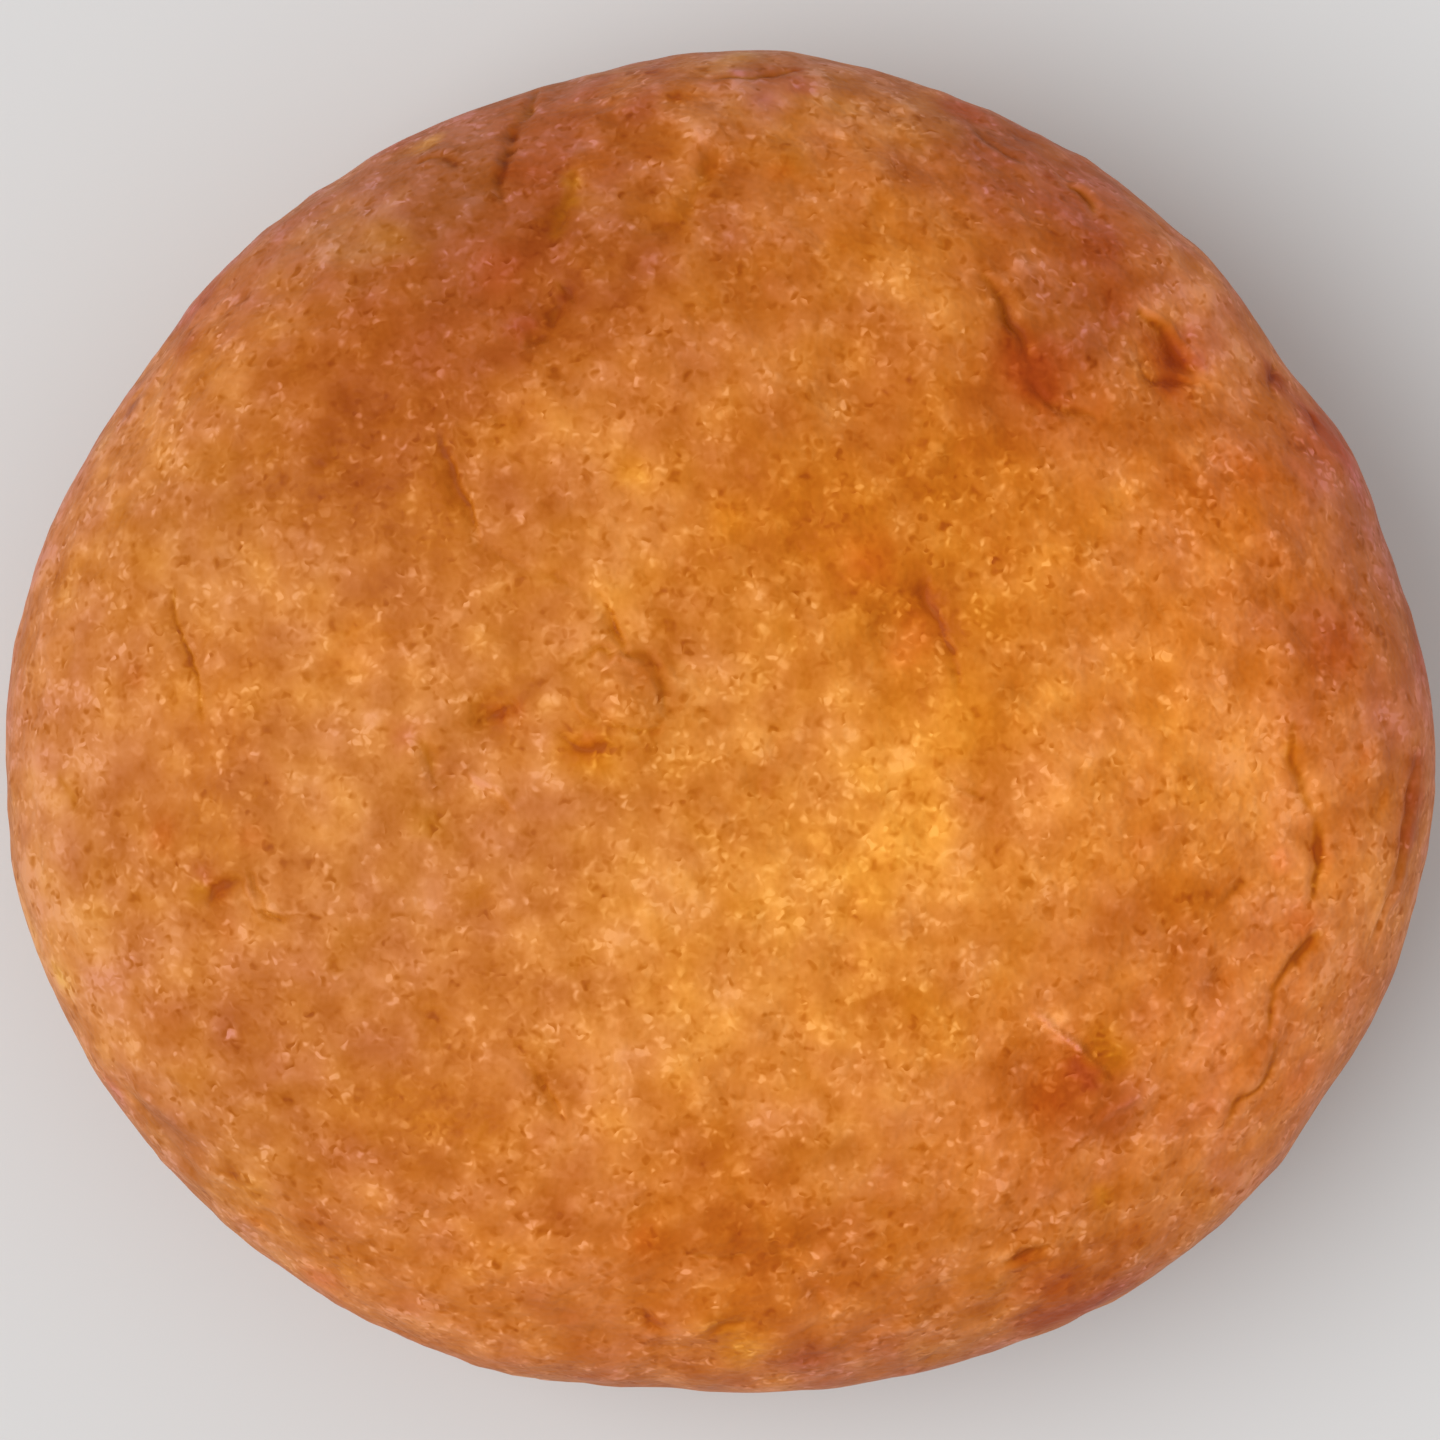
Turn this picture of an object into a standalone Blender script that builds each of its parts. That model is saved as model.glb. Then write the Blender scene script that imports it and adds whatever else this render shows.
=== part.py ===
"""A vetkoek: one whole bun of dough, fried until its crust is golden brown.

The bun rests on the flat spot of its underside. The origin is in the middle of
its underside, +X runs along the bun's longest side, +Y across it and +Z up.
"""

import math
import random

import bmesh
import bpy
from mathutils import Vector, kdtree, noise

MM = 0.001

# Driving sizes of the bun. The outline is seen from above, round its own middle, and
# the eye that sees a place on the top is at a height over the waist.
MEAN_RADIUS = 50.71 * MM
OUTLINE_MIDDLE = Vector((0.0, -1.185 * MM, 0.0))
WAIST_HEIGHT = 20.5 * MM
EYE_HEIGHT = 589.0 * MM
EYE_ROUNDS = 4
TOP_RISE = 23.5 * MM
BOTTOM_DROP = 21.7 * MM
TOP_FULLNESS = 2.35
BOTTOM_FULLNESS = 2.6

# Broad swells of the outline: waves in one round, swing in mm, turn in degrees.
OUTLINE_SWELLS = (
    (2, 1.515, -1.0),
    (3, 0.845, 98.0),
    (4, 0.20, 48.0),
    (5, 0.10, -50.0),
    (6, 0.14, -5.0),
)

# Short bulges and nicks of the outline: direction and half width in degrees, mm.
OUTLINE_NICKS = (
    (14.5, 6.0, -0.52),
    (24.0, 4.5, 0.25),
    (34.0, 4.5, -0.36),
    (45.0, 4.5, 0.26),
    (70.0, 9.0, -0.26),
    (89.0, 7.0, 0.20),
    (106.0, 8.0, -0.42),
    (137.0, 8.0, 0.22),
    (154.0, 6.5, -0.30),
    (184.0, 4.0, -0.20),
    (192.0, 3.5, 0.22),
    (208.0, 3.0, 0.22),
    (251.0, 7.0, 0.18),
    (265.0, 6.0, -0.24),
    (280.0, 8.0, 0.20),
    (328.0, 4.0, -0.20),
)

# Uneven rising of the dough: size of the lumps, how far they stand out, and shift.
# The lumps are calmer in a band at the waist and on the underside.
LUMPS = (
    (17.0 * MM, 0.75 * MM, Vector((3.1, 7.4, 1.9))),
    (8.0 * MM, 0.34 * MM, Vector((11.7, 2.3, 5.5))),
)
LUMPS_LEFT_AT_WAIST = 0.3
LUMPS_LEFT_BELOW = 0.5
WAIST_BAND = 0.25
BELOW_BAND = (0.1, -0.4)

# Furrows and ridges of the top: corners seen from above, depth and width, in mm.
TOP_CREASES = (
    (((-20.6, 20.8), (-19.9, 18.6), (-18.9, 16.4), (-17.8, 13.0)), 1.1, 1.1),
    (((-17.8, 13.0), (-16.0, 12.0), (-13.0, 10.8), (-9.0, 9.3)), 0.4, 1.0),
    (((-9.3, 9.4), (-8.5, 8.4), (-7.7, 7.1), (-7.0, 5.3)), 1.0, 1.0),
    (((-10.0, 4.5), (-8.6, 5.3), (-7.6, 4.8)), 0.5, 1.0),
    (((-6.7, 4.8), (-5.4, 4.6), (-4.5, 3.6), (-4.3, 1.6)), 0.9, 1.0),
    (((-12.0, -1.0), (-10.0, -2.0), (-7.8, -0.9), (-4.0, -0.4)), 1.0, 1.0),
    (((-40.2, 9.5), (-40.2, 6.0), (-39.2, 4.5), (-38.0, 0.3)), 0.9, 1.1),
    (((-13.5, 46.0), (-15.5, 43.0), (-16.0, 41.0), (-16.3, 39.0)), 1.0, 1.1),
    (((-5.5, 36.0), (-3.0, 36.8), (-2.2, 38.0), (-0.9, 41.5)), 0.7, 1.0),
    (((15.7, 10.0), (15.7, 8.2), (16.8, 6.0), (17.8, 2.0)), 0.9, 1.0),
    (((19.5, 34.6), (21.6, 29.5), (22.5, 25.0), (24.0, 24.3)), 0.9, 1.1),
    (((31.0, 30.0), (33.0, 28.5), (34.5, 27.0), (35.0, 26.0)), 0.9, 1.0),
    (((42.3, -1.0), (43.0, -4.0), (44.8, -9.0), (44.0, -13.0)), 1.2, 1.1),
    (((43.7, -14.5), (42.3, -18.0), (41.0, -19.6)), 0.9, 1.1),
    (((40.4, -22.0), (40.2, -25.0), (38.3, -27.8), (37.0, -31.0)), 0.6, 1.1),
    (((51.0, -3.0), (50.4, -8.0), (48.4, -16.0)), 0.7, 1.0),
    (((-14.0, -25.5), (-12.3, -28.3), (-11.5, -29.8)), 0.9, 1.0),
    (((1.5, -34.5), (3.5, -37.5), (6.0, -41.0), (8.0, -43.4)), 0.6, 1.0),
    (((21.0, -40.0), (22.5, -39.4), (24.0, -38.7)), 0.9, 1.0),
    (((23.5, -21.5), (25.3, -22.5), (26.5, -24.0), (28.3, -26.0)), -0.8, 1.0),
    (((-37.0, -10.8), (-37.0, -12.5), (-36.2, -14.0)), 0.8, 1.0),
)

# Bumps and dents of the top: place seen from above, reach and rise, in mm.
TOP_SWELLS = (
    (-7.0, 1.5, 2.9, 1.2),
    (10.4, 24.6, 3.2, -0.9),
    (33.4, 26.6, 3.2, -0.9),
    (14.2, 6.5, 2.8, -0.6),
    (25.0, -26.3, 2.8, -0.7),
    (-12.6, 30.6, 3.2, -0.8),
    (-16.8, 0.4, 2.4, -0.8),
    (-20.5, -6.2, 3.6, -0.5),
    (-1.5, 43.0, 2.0, 0.6),
    (11.6, 40.3, 2.2, 0.6),
    (-2.2, -44.3, 2.4, 0.6),
    (26.4, -5.2, 3.6, 0.6),
)

# Furrows of the side and the underside, spread evenly round, in degrees and mm.
SIDE_CREASES = 9
SIDE_PLACE_IN_SHARE = (0.2, 0.8)
SIDE_TILT = (-42.0, -6.0)
SIDE_SPAN = (5.0, 12.0)
SIDE_BOW = 0.3
SIDE_DEPTH = (0.5, 0.9)
SIDE_WIDTH = 1.1
SIDE_SEED = 5

# The cross-section of a furrow, in widths of the furrow: where its lip stands, how
# wide the lip is, how high beside the depth, and how far out the furrow is felt.
LIP_PLACE = 1.9
LIP_WIDTH = 0.8
LIP_SHARE = 0.28
CREASE_REACH = 3.5
CREASE_END = 0.06

# The mesh: how often the ball is split all over, and how near a crease it is
# split again, once for each distance.
BALL_SPLITS = 5
FINER_WITHIN = (2.6 * MM, 1.4 * MM)
CREASE_STEP = 0.25 * MM
CUT_SNAP = 0.15 * MM

CRUST_COLOUR = (0.56, 0.19, 0.045, 1.0)
CRUST_ROUGHNESS = 0.5


def smooth_step(low, high, value):
    """Rise smoothly from 0 at low to 1 at high."""
    share = min(max((value - low) / (high - low), 0.0), 1.0)
    return share * share * (3.0 - 2.0 * share)


def outline_radius(turn):
    """Reach of the outline from its middle, in the direction turn."""
    reach = MEAN_RADIUS
    for waves, swing, start in OUTLINE_SWELLS:
        reach += swing * MM * math.cos(waves * turn + math.radians(start))
    for direction, half_width, out in OUTLINE_NICKS:
        off = math.remainder(turn - math.radians(direction), math.tau)
        reach += out * MM * math.exp(-((off / math.radians(half_width)) ** 2))
    return reach


def plain_skin(direction):
    """The bun without its relief: place and outward normal in a direction."""
    above = direction.z >= 0.0
    rise = TOP_RISE if above else BOTTOM_DROP
    fullness = TOP_FULLNESS if above else BOTTOM_FULLNESS
    level = Vector((direction.x, direction.y, 0.0))
    across = level.length
    radius = outline_radius(math.atan2(direction.y, direction.x))
    reach = (across**fullness + abs(direction.z) ** fullness) ** (-1.0 / fullness)
    arm = Vector((direction.x * radius, direction.y * radius, direction.z * rise)) * reach
    sideways = level.normalized() * (across * reach) ** (fullness - 1.0) / radius
    upwards = abs(direction.z * reach) ** (fullness - 1.0) / rise
    normal = sideways + Vector((0.0, 0.0, math.copysign(upwards, direction.z)))
    place = OUTLINE_MIDDLE + Vector((0.0, 0.0, WAIST_HEIGHT)) + arm
    return place, normal.normalized()


def on_top(x, y):
    """The place of the top that the eye sees at x, y in mm, measured at the waist."""
    rise = 0.0
    for _ in range(EYE_ROUNDS):
        seen = Vector((x * MM, y * MM, 0.0)) * (1.0 - rise / EYE_HEIGHT)
        arm = seen - OUTLINE_MIDDLE
        share = min(arm.length / outline_radius(math.atan2(arm.y, arm.x)), 1.0)
        rise = TOP_RISE * (1.0 - share**TOP_FULLNESS) ** (1.0 / TOP_FULLNESS)
    return seen + Vector((0.0, 0.0, WAIST_HEIGHT + rise))


def on_side(turn, tilt):
    """The place of the plain bun in a direction, turn and tilt in degrees."""
    level = math.cos(math.radians(tilt))
    along = math.cos(math.radians(turn)) * level
    across = math.sin(math.radians(turn)) * level
    return plain_skin(Vector((along, across, math.sin(math.radians(tilt)))))[0]


def curve_through(corners, step):
    """Places along a smooth curve through the corners, about one step apart."""
    first = 2.0 * corners[0] - corners[1]
    last = 2.0 * corners[-1] - corners[-2]
    knots = [first, *corners, last]
    places = []
    for before, start, end, after in zip(knots, knots[1:], knots[2:], knots[3:]):
        count = max(1, round((end - start).length / step))
        for index in range(count):
            t = index / count
            bend = 2.0 * before - 5.0 * start + 4.0 * end - after
            twist = 3.0 * start - before - 3.0 * end + after
            places.append(start + 0.5 * t * (end - before + t * (bend + t * twist)))
    places.append(corners[-1])
    return places


class Crease:
    """A furrow in the crust, or a ridge where its depth is below zero.

    Depth and width are in mm. The depth fades out at both ends.
    """

    def __init__(self, corners, depth, width):
        self.depth = depth * MM
        self.width = width * MM
        self.places = curve_through(corners, CREASE_STEP)
        self.tree = kdtree.KDTree(len(self.places))
        for index, place in enumerate(self.places):
            self.tree.insert(place, index)
        self.tree.balance()

    def distance(self, place):
        """How far the place is from the crease."""
        return self.tree.find(place)[2]

    def height(self, place):
        """How far the crust stands out at the place, below zero in a furrow."""
        _, index, distance = self.tree.find(place)
        across = distance / self.width
        if across > CREASE_REACH:
            return 0.0
        along = index / (len(self.places) - 1)
        inside = CREASE_END + (1.0 - 2.0 * CREASE_END) * along
        fade = math.sqrt(math.sin(math.pi * inside))
        furrow = math.exp(-across * across)
        lip = LIP_SHARE * math.exp(-(((across - LIP_PLACE) / LIP_WIDTH) ** 2))
        return self.depth * fade * (lip - furrow)


class Swell:
    """A round bump on the crust, or a dent where its rise is below zero."""

    def __init__(self, x, y, reach, rise):
        self.middle = on_top(x, y)
        self.reach = reach * MM
        self.rise = rise * MM

    def height(self, place):
        """How far the crust stands out at the place."""
        away = (place - self.middle).length / self.reach
        return self.rise * math.exp(-away * away)


def top_creases():
    """The furrows and ridges of the top, from the upper left to the lower right."""
    return [Crease([on_top(x, y) for x, y in corners], depth, width)
            for corners, depth, width in TOP_CREASES]


def side_creases():
    """Short furrows of the side and the underside, one in each share of the round."""
    draw = random.Random(SIDE_SEED)
    creases = []
    for index in range(SIDE_CREASES):
        turn = (index + draw.uniform(*SIDE_PLACE_IN_SHARE)) * 360.0 / SIDE_CREASES
        tilt = draw.uniform(*SIDE_TILT)
        span = draw.uniform(*SIDE_SPAN)
        steep = draw.uniform(-1.0, 1.0) * span
        bow = draw.uniform(-SIDE_BOW, SIDE_BOW) * span
        corners = [
            on_side(turn - span / 2.0, tilt - steep),
            on_side(turn, tilt + bow),
            on_side(turn + span / 2.0, tilt + steep),
        ]
        creases.append(Crease(corners, draw.uniform(*SIDE_DEPTH), SIDE_WIDTH))
    return creases


def relief(direction, place, creases, swells):
    """How far the crust stands out from the plain bun."""
    waist = math.exp(-((direction.z / WAIST_BAND) ** 2))
    calm = 1.0 - (1.0 - LUMPS_LEFT_AT_WAIST) * waist
    below = 1.0 - (1.0 - LUMPS_LEFT_BELOW) * smooth_step(*BELOW_BAND, direction.z)
    height = 0.0
    for size, swing, shift in LUMPS:
        height += swing * noise.noise(place / size + shift) * calm * below
    height += sum(crease.height(place) for crease in creases)
    height += sum(swell.height(place) for swell in swells)
    return height


def split_ball(creases):
    """A ball of triangles, split finer where the creases will run."""
    ball = bmesh.new()
    bmesh.ops.create_icosphere(ball, subdivisions=BALL_SPLITS, radius=1.0)
    for limit in FINER_WITHIN:
        near = []
        for face in ball.faces:
            place, _ = plain_skin(face.calc_center_median().normalized())
            if any(crease.distance(place) < limit for crease in creases):
                near.append(face)
        edges = list({edge for face in near for edge in face.edges})
        bmesh.ops.subdivide_edges(ball, edges=edges, cuts=1)
        bmesh.ops.triangulate(ball, faces=ball.faces[:])
        for vertex in ball.verts:
            vertex.co.normalize()
    return ball


def shape_bun(ball, creases, swells):
    """Move each corner of the ball out to the crust."""
    for vertex in ball.verts:
        direction = vertex.co.normalized()
        place, normal = plain_skin(direction)
        vertex.co = place + normal * relief(direction, place, creases, swells)


def cut_flat_spot(ball):
    """Cut the underside level at z = 0 and close it with a fan of triangles."""
    cut = bmesh.ops.bisect_plane(
        ball,
        geom=ball.verts[:] + ball.edges[:] + ball.faces[:],
        dist=CUT_SNAP,
        plane_co=(0.0, 0.0, 0.0),
        plane_no=(0.0, 0.0, 1.0),
        clear_inner=True,
    )
    rim = [item for item in cut["geom_cut"] if isinstance(item, bmesh.types.BMEdge)]
    for edge in rim:
        for vertex in edge.verts:
            vertex.co.z = 0.0
    foot = bmesh.ops.contextual_create(ball, geom=rim)["faces"]
    bmesh.ops.poke(ball, faces=foot)
    bmesh.ops.triangulate(ball, faces=ball.faces[:])
    bmesh.ops.recalc_face_normals(ball, faces=ball.faces[:])


def centre_over_origin(ball):
    """Slide the bun level until its box is centred over the origin."""
    for axis in (0, 1):
        reaches = [vertex.co[axis] for vertex in ball.verts]
        middle = (min(reaches) + max(reaches)) / 2.0
        for vertex in ball.verts:
            vertex.co[axis] -= middle


def crust_material():
    """Golden brown fried crust with a soft sheen."""
    material = bpy.data.materials.new("fried_crust")
    material.use_nodes = True
    shader = material.node_tree.nodes["Principled BSDF"]
    shader.inputs["Base Color"].default_value = CRUST_COLOUR
    shader.inputs["Roughness"].default_value = CRUST_ROUGHNESS
    shader.inputs["Metallic"].default_value = 0.0
    return material


def build_vetkoek():
    """The whole bun as one closed body."""
    creases = top_creases() + side_creases()
    swells = [Swell(*sizes) for sizes in TOP_SWELLS]
    ball = split_ball(creases)
    shape_bun(ball, creases, swells)
    cut_flat_spot(ball)
    centre_over_origin(ball)
    mesh = bpy.data.meshes.new("vetkoek")
    ball.to_mesh(mesh)
    ball.free()
    mesh.materials.append(crust_material())
    mesh.shade_smooth()
    bun = bpy.data.objects.new("vetkoek", mesh)
    bpy.context.scene.collection.objects.link(bun)


for leftover in list(bpy.data.objects):
    bpy.data.objects.remove(leftover, do_unlink=True)
build_vetkoek()
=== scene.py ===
"""A vetkoek: the looks of one whole fried bun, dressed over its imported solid.

Lengths are in metres, as in the frame. A size given in millimetres is multiplied by
MM. A place on the top is given as an eye straight above the bun sees it.
"""

import logging
import math
import random
from dataclasses import dataclass, field
from enum import Enum
from typing import Any, Iterable, Optional, Union

import bmesh
import bpy
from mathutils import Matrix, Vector, kdtree, noise


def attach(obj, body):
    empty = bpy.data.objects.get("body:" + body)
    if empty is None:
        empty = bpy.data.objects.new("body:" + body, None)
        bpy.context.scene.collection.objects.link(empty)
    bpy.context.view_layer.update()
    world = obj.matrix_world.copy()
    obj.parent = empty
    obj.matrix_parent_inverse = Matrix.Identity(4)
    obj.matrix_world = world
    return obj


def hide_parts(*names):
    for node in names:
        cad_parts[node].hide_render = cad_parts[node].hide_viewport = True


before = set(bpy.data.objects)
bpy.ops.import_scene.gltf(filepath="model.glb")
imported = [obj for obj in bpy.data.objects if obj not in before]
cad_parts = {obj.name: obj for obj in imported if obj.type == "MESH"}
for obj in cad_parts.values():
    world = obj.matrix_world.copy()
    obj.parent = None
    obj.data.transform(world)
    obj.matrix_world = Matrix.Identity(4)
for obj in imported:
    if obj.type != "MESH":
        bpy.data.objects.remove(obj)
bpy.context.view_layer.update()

MM = 0.001
BODY = "root"
NODE = "vetkoek"

log = logging.getLogger("vetkoek")

Number = Union[int, float]
Span = tuple[float, float]
Triple = tuple[float, float, float]
Colour = Triple
Rows = tuple[tuple, ...]

# The middle of what runs from 0 to 1, such as a number drawn or the share of a mix.
MIDDLE = 0.5

# What the crust's mesh holds for each of its points, for its finish to read.
# crest paints highlights on the crests of the fine relief and shade in its dents.
# furrow carries the furrows' browning with their painted shade, and the painted highlights of ridges.
POINT_VALUES = ("brown", "golden", "rusty", "furrow", "crest")


def smooth_step(low: float, high: float, value: float) -> float:
    """Rise smoothly from 0 at low to 1 at high.

    Args:
        low: Where the rise begins.
        high: Where the rise ends, which may be below low.
        value: The place to read.

    Returns:
        A share between 0 and 1.
    """
    share = min(max((value - low) / (high - low), 0.0), 1.0)
    return share * share * (3.0 - 2.0 * share)


def bell(distance: float) -> float:
    """A smooth hump: 1 at no distance, near 0 from a distance of 2."""
    return math.exp(-distance * distance)


def curve_through(corners: list[Vector], step: float) -> list[Vector]:
    """Places along a smooth curve through the corners.

    Args:
        corners: The places that the curve passes, at least two.
        step: The distance from one place to the next, about.

    Returns:
        The places, from the first corner to the last.
    """
    first = 2.0 * corners[0] - corners[1]
    last = 2.0 * corners[-1] - corners[-2]
    knots = [first, *corners, last]
    places = []
    for before, start, end, after in zip(knots, knots[1:], knots[2:], knots[3:]):
        count = max(1, round((end - start).length / step))
        for index in range(count):
            t = index / count
            bend = 2.0 * before - 5.0 * start + 4.0 * end - after
            twist = 3.0 * start - before - 3.0 * end + after
            places.append(start + 0.5 * t * (end - before + t * (bend + t * twist)))
    places.append(corners[-1])
    return places


def direction_at(turn: float, tilt: float) -> Vector:
    """A direction, given by its angles.

    Args:
        turn: How far round from +X it is, in degrees.
        tilt: How far above the level it is, in degrees.

    Returns:
        The direction, of length 1.
    """
    turn, tilt = math.radians(turn), math.radians(tilt)
    level = math.cos(tilt)
    return Vector((math.cos(turn) * level, math.sin(turn) * level, math.sin(tilt)))


def add_object(name: str, data: Any) -> bpy.types.Object:
    """Add an object to the scene.

    Args:
        name: Its name.
        data: Its mesh, light or camera.

    Returns:
        The object.
    """
    made = bpy.data.objects.new(name, data)
    bpy.context.scene.collection.objects.link(made)
    return made


def add_mesh(name: str, shape: bmesh.types.BMesh,
             material: bpy.types.Material) -> bpy.types.Object:
    """Add a shape to the scene.

    Args:
        name: Its name.
        shape: The shape, which is freed.
        material: What it is made of.

    Returns:
        The object.
    """
    mesh = bpy.data.meshes.new(name)
    shape.to_mesh(mesh)
    shape.free()
    mesh.materials.append(material)
    return add_object(name, mesh)


@dataclass(frozen=True)
class Half:
    """One half of the bun, above or below its waist.

    Attributes:
        rise: How far the half reaches from the waist, at its middle.
        fullness: How square its shoulder is: 2 is an ellipse.
    """

    rise: float
    fullness: float


@dataclass
class PlainBun:
    """The bun's main form, without its relief.

    Attributes:
        mean_radius: The outline's mean reach from its middle.
        middle: The outline's middle, at the height of the waist.
        top: The half above the waist.
        bottom: The half below the waist.
        swells: Waves in one round, swing in mm and turn in degrees.
        nicks: Direction and half width in degrees, and how far out in mm.
        eye_height: How far the eye that sees the top is above the waist.
        eye_rounds: How often the place that it sees is worked out again.
    """

    mean_radius: float = 50.71 * MM
    middle: Vector = field(default_factory=lambda: Vector((0.0, -1.185, 20.5)) * MM)
    top: Half = Half(23.5 * MM, 2.35)
    bottom: Half = Half(21.7 * MM, 2.6)
    swells: Rows = (
        (2, 1.515, -1.0),
        (3, 0.845, 98.0),
        (4, 0.20, 48.0),
        (5, 0.10, -50.0),
        (6, 0.14, -5.0),
    )
    nicks: Rows = (
        (14.5, 6.0, -0.52),
        (24.0, 4.5, 0.25),
        (34.0, 4.5, -0.36),
        (45.0, 4.5, 0.26),
        (70.0, 9.0, -0.26),
        (89.0, 7.0, 0.20),
        (106.0, 8.0, -0.42),
        (137.0, 8.0, 0.22),
        (154.0, 6.5, -0.30),
        (184.0, 4.0, -0.20),
        (192.0, 3.5, 0.22),
        (208.0, 3.0, 0.22),
        (251.0, 7.0, 0.18),
        (265.0, 6.0, -0.24),
        (280.0, 8.0, 0.20),
        (328.0, 4.0, -0.20),
    )
    eye_height: float = 0.589
    eye_rounds: int = 4

    def radius(self, turn: float) -> float:
        """Reach of the outline from its middle.

        Args:
            turn: The direction, in radians from +X.

        Returns:
            The reach.
        """
        reach = self.mean_radius
        for waves, swing, start in self.swells:
            reach += swing * MM * math.cos(waves * turn + math.radians(start))
        for direction, half_width, out in self.nicks:
            off = math.remainder(turn - math.radians(direction), math.tau)
            reach += out * MM * bell(off / math.radians(half_width))
        return reach

    def skin(self, direction: Vector) -> tuple[Vector, Vector]:
        """The skin in a direction from the middle.

        Args:
            direction: A direction of length 1.

        Returns:
            The place on the skin and its outward normal.
        """
        half = self.top if direction.z >= 0.0 else self.bottom
        level = Vector((direction.x, direction.y, 0.0))
        across = level.length
        radius = self.radius(math.atan2(direction.y, direction.x))
        total = across**half.fullness + abs(direction.z) ** half.fullness
        reach = total ** (-1.0 / half.fullness)
        arm = Vector((direction.x * radius, direction.y * radius, direction.z * half.rise))
        sideways = level.normalized() * (across * reach) ** (half.fullness - 1.0) / radius
        upwards = abs(direction.z * reach) ** (half.fullness - 1.0) / half.rise
        normal = sideways + Vector((0.0, 0.0, math.copysign(upwards, direction.z)))
        return self.middle + arm * reach, normal.normalized()

    def on_top(self, x: float, y: float) -> Vector:
        """The place of the top that the eye sees.

        Args:
            x: Where the eye sees it along the bun, in mm, measured at the waist.
            y: Where the eye sees it across the bun, in the same way.

        Returns:
            The place.
        """
        rise = 0.0
        place = Vector((x, y, 0.0)) * MM
        for _ in range(self.eye_rounds):
            seen = Vector((x, y, 0.0)) * MM * (1.0 - rise / self.eye_height)
            arm = seen - Vector((self.middle.x, self.middle.y, 0.0))
            share = min(arm.length / self.radius(math.atan2(arm.y, arm.x)), 1.0)
            power = self.top.fullness
            rise = self.top.rise * (1.0 - share**power) ** (1.0 / power)
            place = seen + Vector((0.0, 0.0, self.middle.z + rise))
        return place

    def on_side(self, turn: float, tilt: float) -> Vector:
        """The place in a direction from the middle, turn and tilt in degrees."""
        return self.skin(direction_at(turn, tilt))[0]


@dataclass
class Furrow:
    """A furrow in the crust, or a ridge where its depth is below zero.

    Attributes:
        corners: The places that it runs through.
        depth: How deep it is.
        width: Half of its width at half of its depth, about.
        shade: How much darker the crust is in it: browning with painted shade, and below zero a
            painted highlight along a ridge.
        lean: 1 where its left side, seen along its run, is the steep one, -1 where
            its right side is, 0 where both are alike.
        taper: What share of its width it loses on its way.
        step: How far apart the places along its curve are.
        reach: How far out it is felt, in widths.
        blunt_end: How far into its fade it starts and ends, so that it isn't pointed.
        steep: How wide its steep side is beside an even one.
        shallow: How wide its other side is then.
        even_within: How near its line both sides are still much alike.
        core: How wide the darker line in it is, in widths.
        core_share: How much of its browning and painted shade is in that line.
        lip_place: Where its lip stands, in widths.
        lip_width: How wide the lip is, in widths.
        lip_share: How high the lip is beside the depth.
        places: The places along its curve.
        lefts: The way to its left at each place.
        tree: The index of the places.
        hub: The middle of the places.
        hub_reach: How far from there it can be felt.
    """

    corners: list[Vector]
    depth: float
    width: float
    shade: float = 1.0
    lean: float = 0.0
    taper: float = 0.0
    step: float = 0.1 * MM
    reach: float = 2.6
    blunt_end: float = 0.06
    steep: float = 0.7
    shallow: float = 2.2
    even_within: float = 0.01 * MM
    core: float = 0.5
    core_share: float = 0.8
    lip_place: float = 2.0
    lip_width: float = 0.9
    lip_share: float = 0.16
    places: list[Vector] = field(init=False)
    lefts: list[Vector] = field(init=False, default_factory=list)
    tree: kdtree.KDTree = field(init=False)
    hub: Vector = field(init=False)
    hub_reach: float = field(init=False)

    def __post_init__(self) -> None:
        """Lay the curve and index its places."""
        self.places = curve_through(self.corners, self.step)
        last = len(self.places) - 1
        self.tree = kdtree.KDTree(last + 1)
        for index, place in enumerate(self.places):
            self.tree.insert(place, index)
            run = self.places[min(index + 1, last)] - self.places[max(index - 1, 0)]
            self.lefts.append(place.cross(run).normalized())
        self.tree.balance()
        self.hub = sum(self.places, Vector()) / len(self.places)
        furthest = max((place - self.hub).length for place in self.places)
        self.hub_reach = furthest + self.reach * self.shallow * self.width

    def distance(self, place: Vector) -> float:
        """How far the place is from the furrow, roughly where it is far."""
        away = (place - self.hub).length
        return away if away > self.hub_reach else self.tree.find(place)[2]

    def at(self, place: Vector) -> tuple[float, float]:
        """Read the furrow at a place of the plain skin.

        Args:
            place: The place to read.

        Returns:
            How far the crust stands out there, and how much darker it is painted there, browning and
            painted shade together.
        """
        if (place - self.hub).length > self.hub_reach:
            return 0.0, 0.0
        _, index, distance = self.tree.find(place)
        along = index / (len(self.places) - 1)
        width = self.width * (1.0 - self.taper * along)
        side = (place - self.places[index]).dot(self.lefts[index])
        leaning = self.lean * side / max(distance, self.even_within)
        factor = self.steep if leaning > 0.0 else self.shallow
        spread = width * (1.0 + (factor - 1.0) * abs(leaning))
        across = distance / spread
        if across > self.reach:
            return 0.0, 0.0
        inside = self.blunt_end + (1.0 - 2.0 * self.blunt_end) * along
        fade = math.sqrt(math.sin(math.pi * inside))
        groove = bell(across)
        core = bell(distance / (self.core * width))
        lip = self.lip_share * bell((across - self.lip_place) / self.lip_width)
        if self.lean and leaning < 0.0:
            lip *= 1.0 + leaning
        # Painted shade: the crust is darkened along the groove and most along its core, as well as
        # browned; a ridge gets a painted highlight instead.
        shade = (1.0 - self.core_share) * groove + self.core_share * core
        return self.depth * fade * (lip - groove), self.shade * fade * shade


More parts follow.
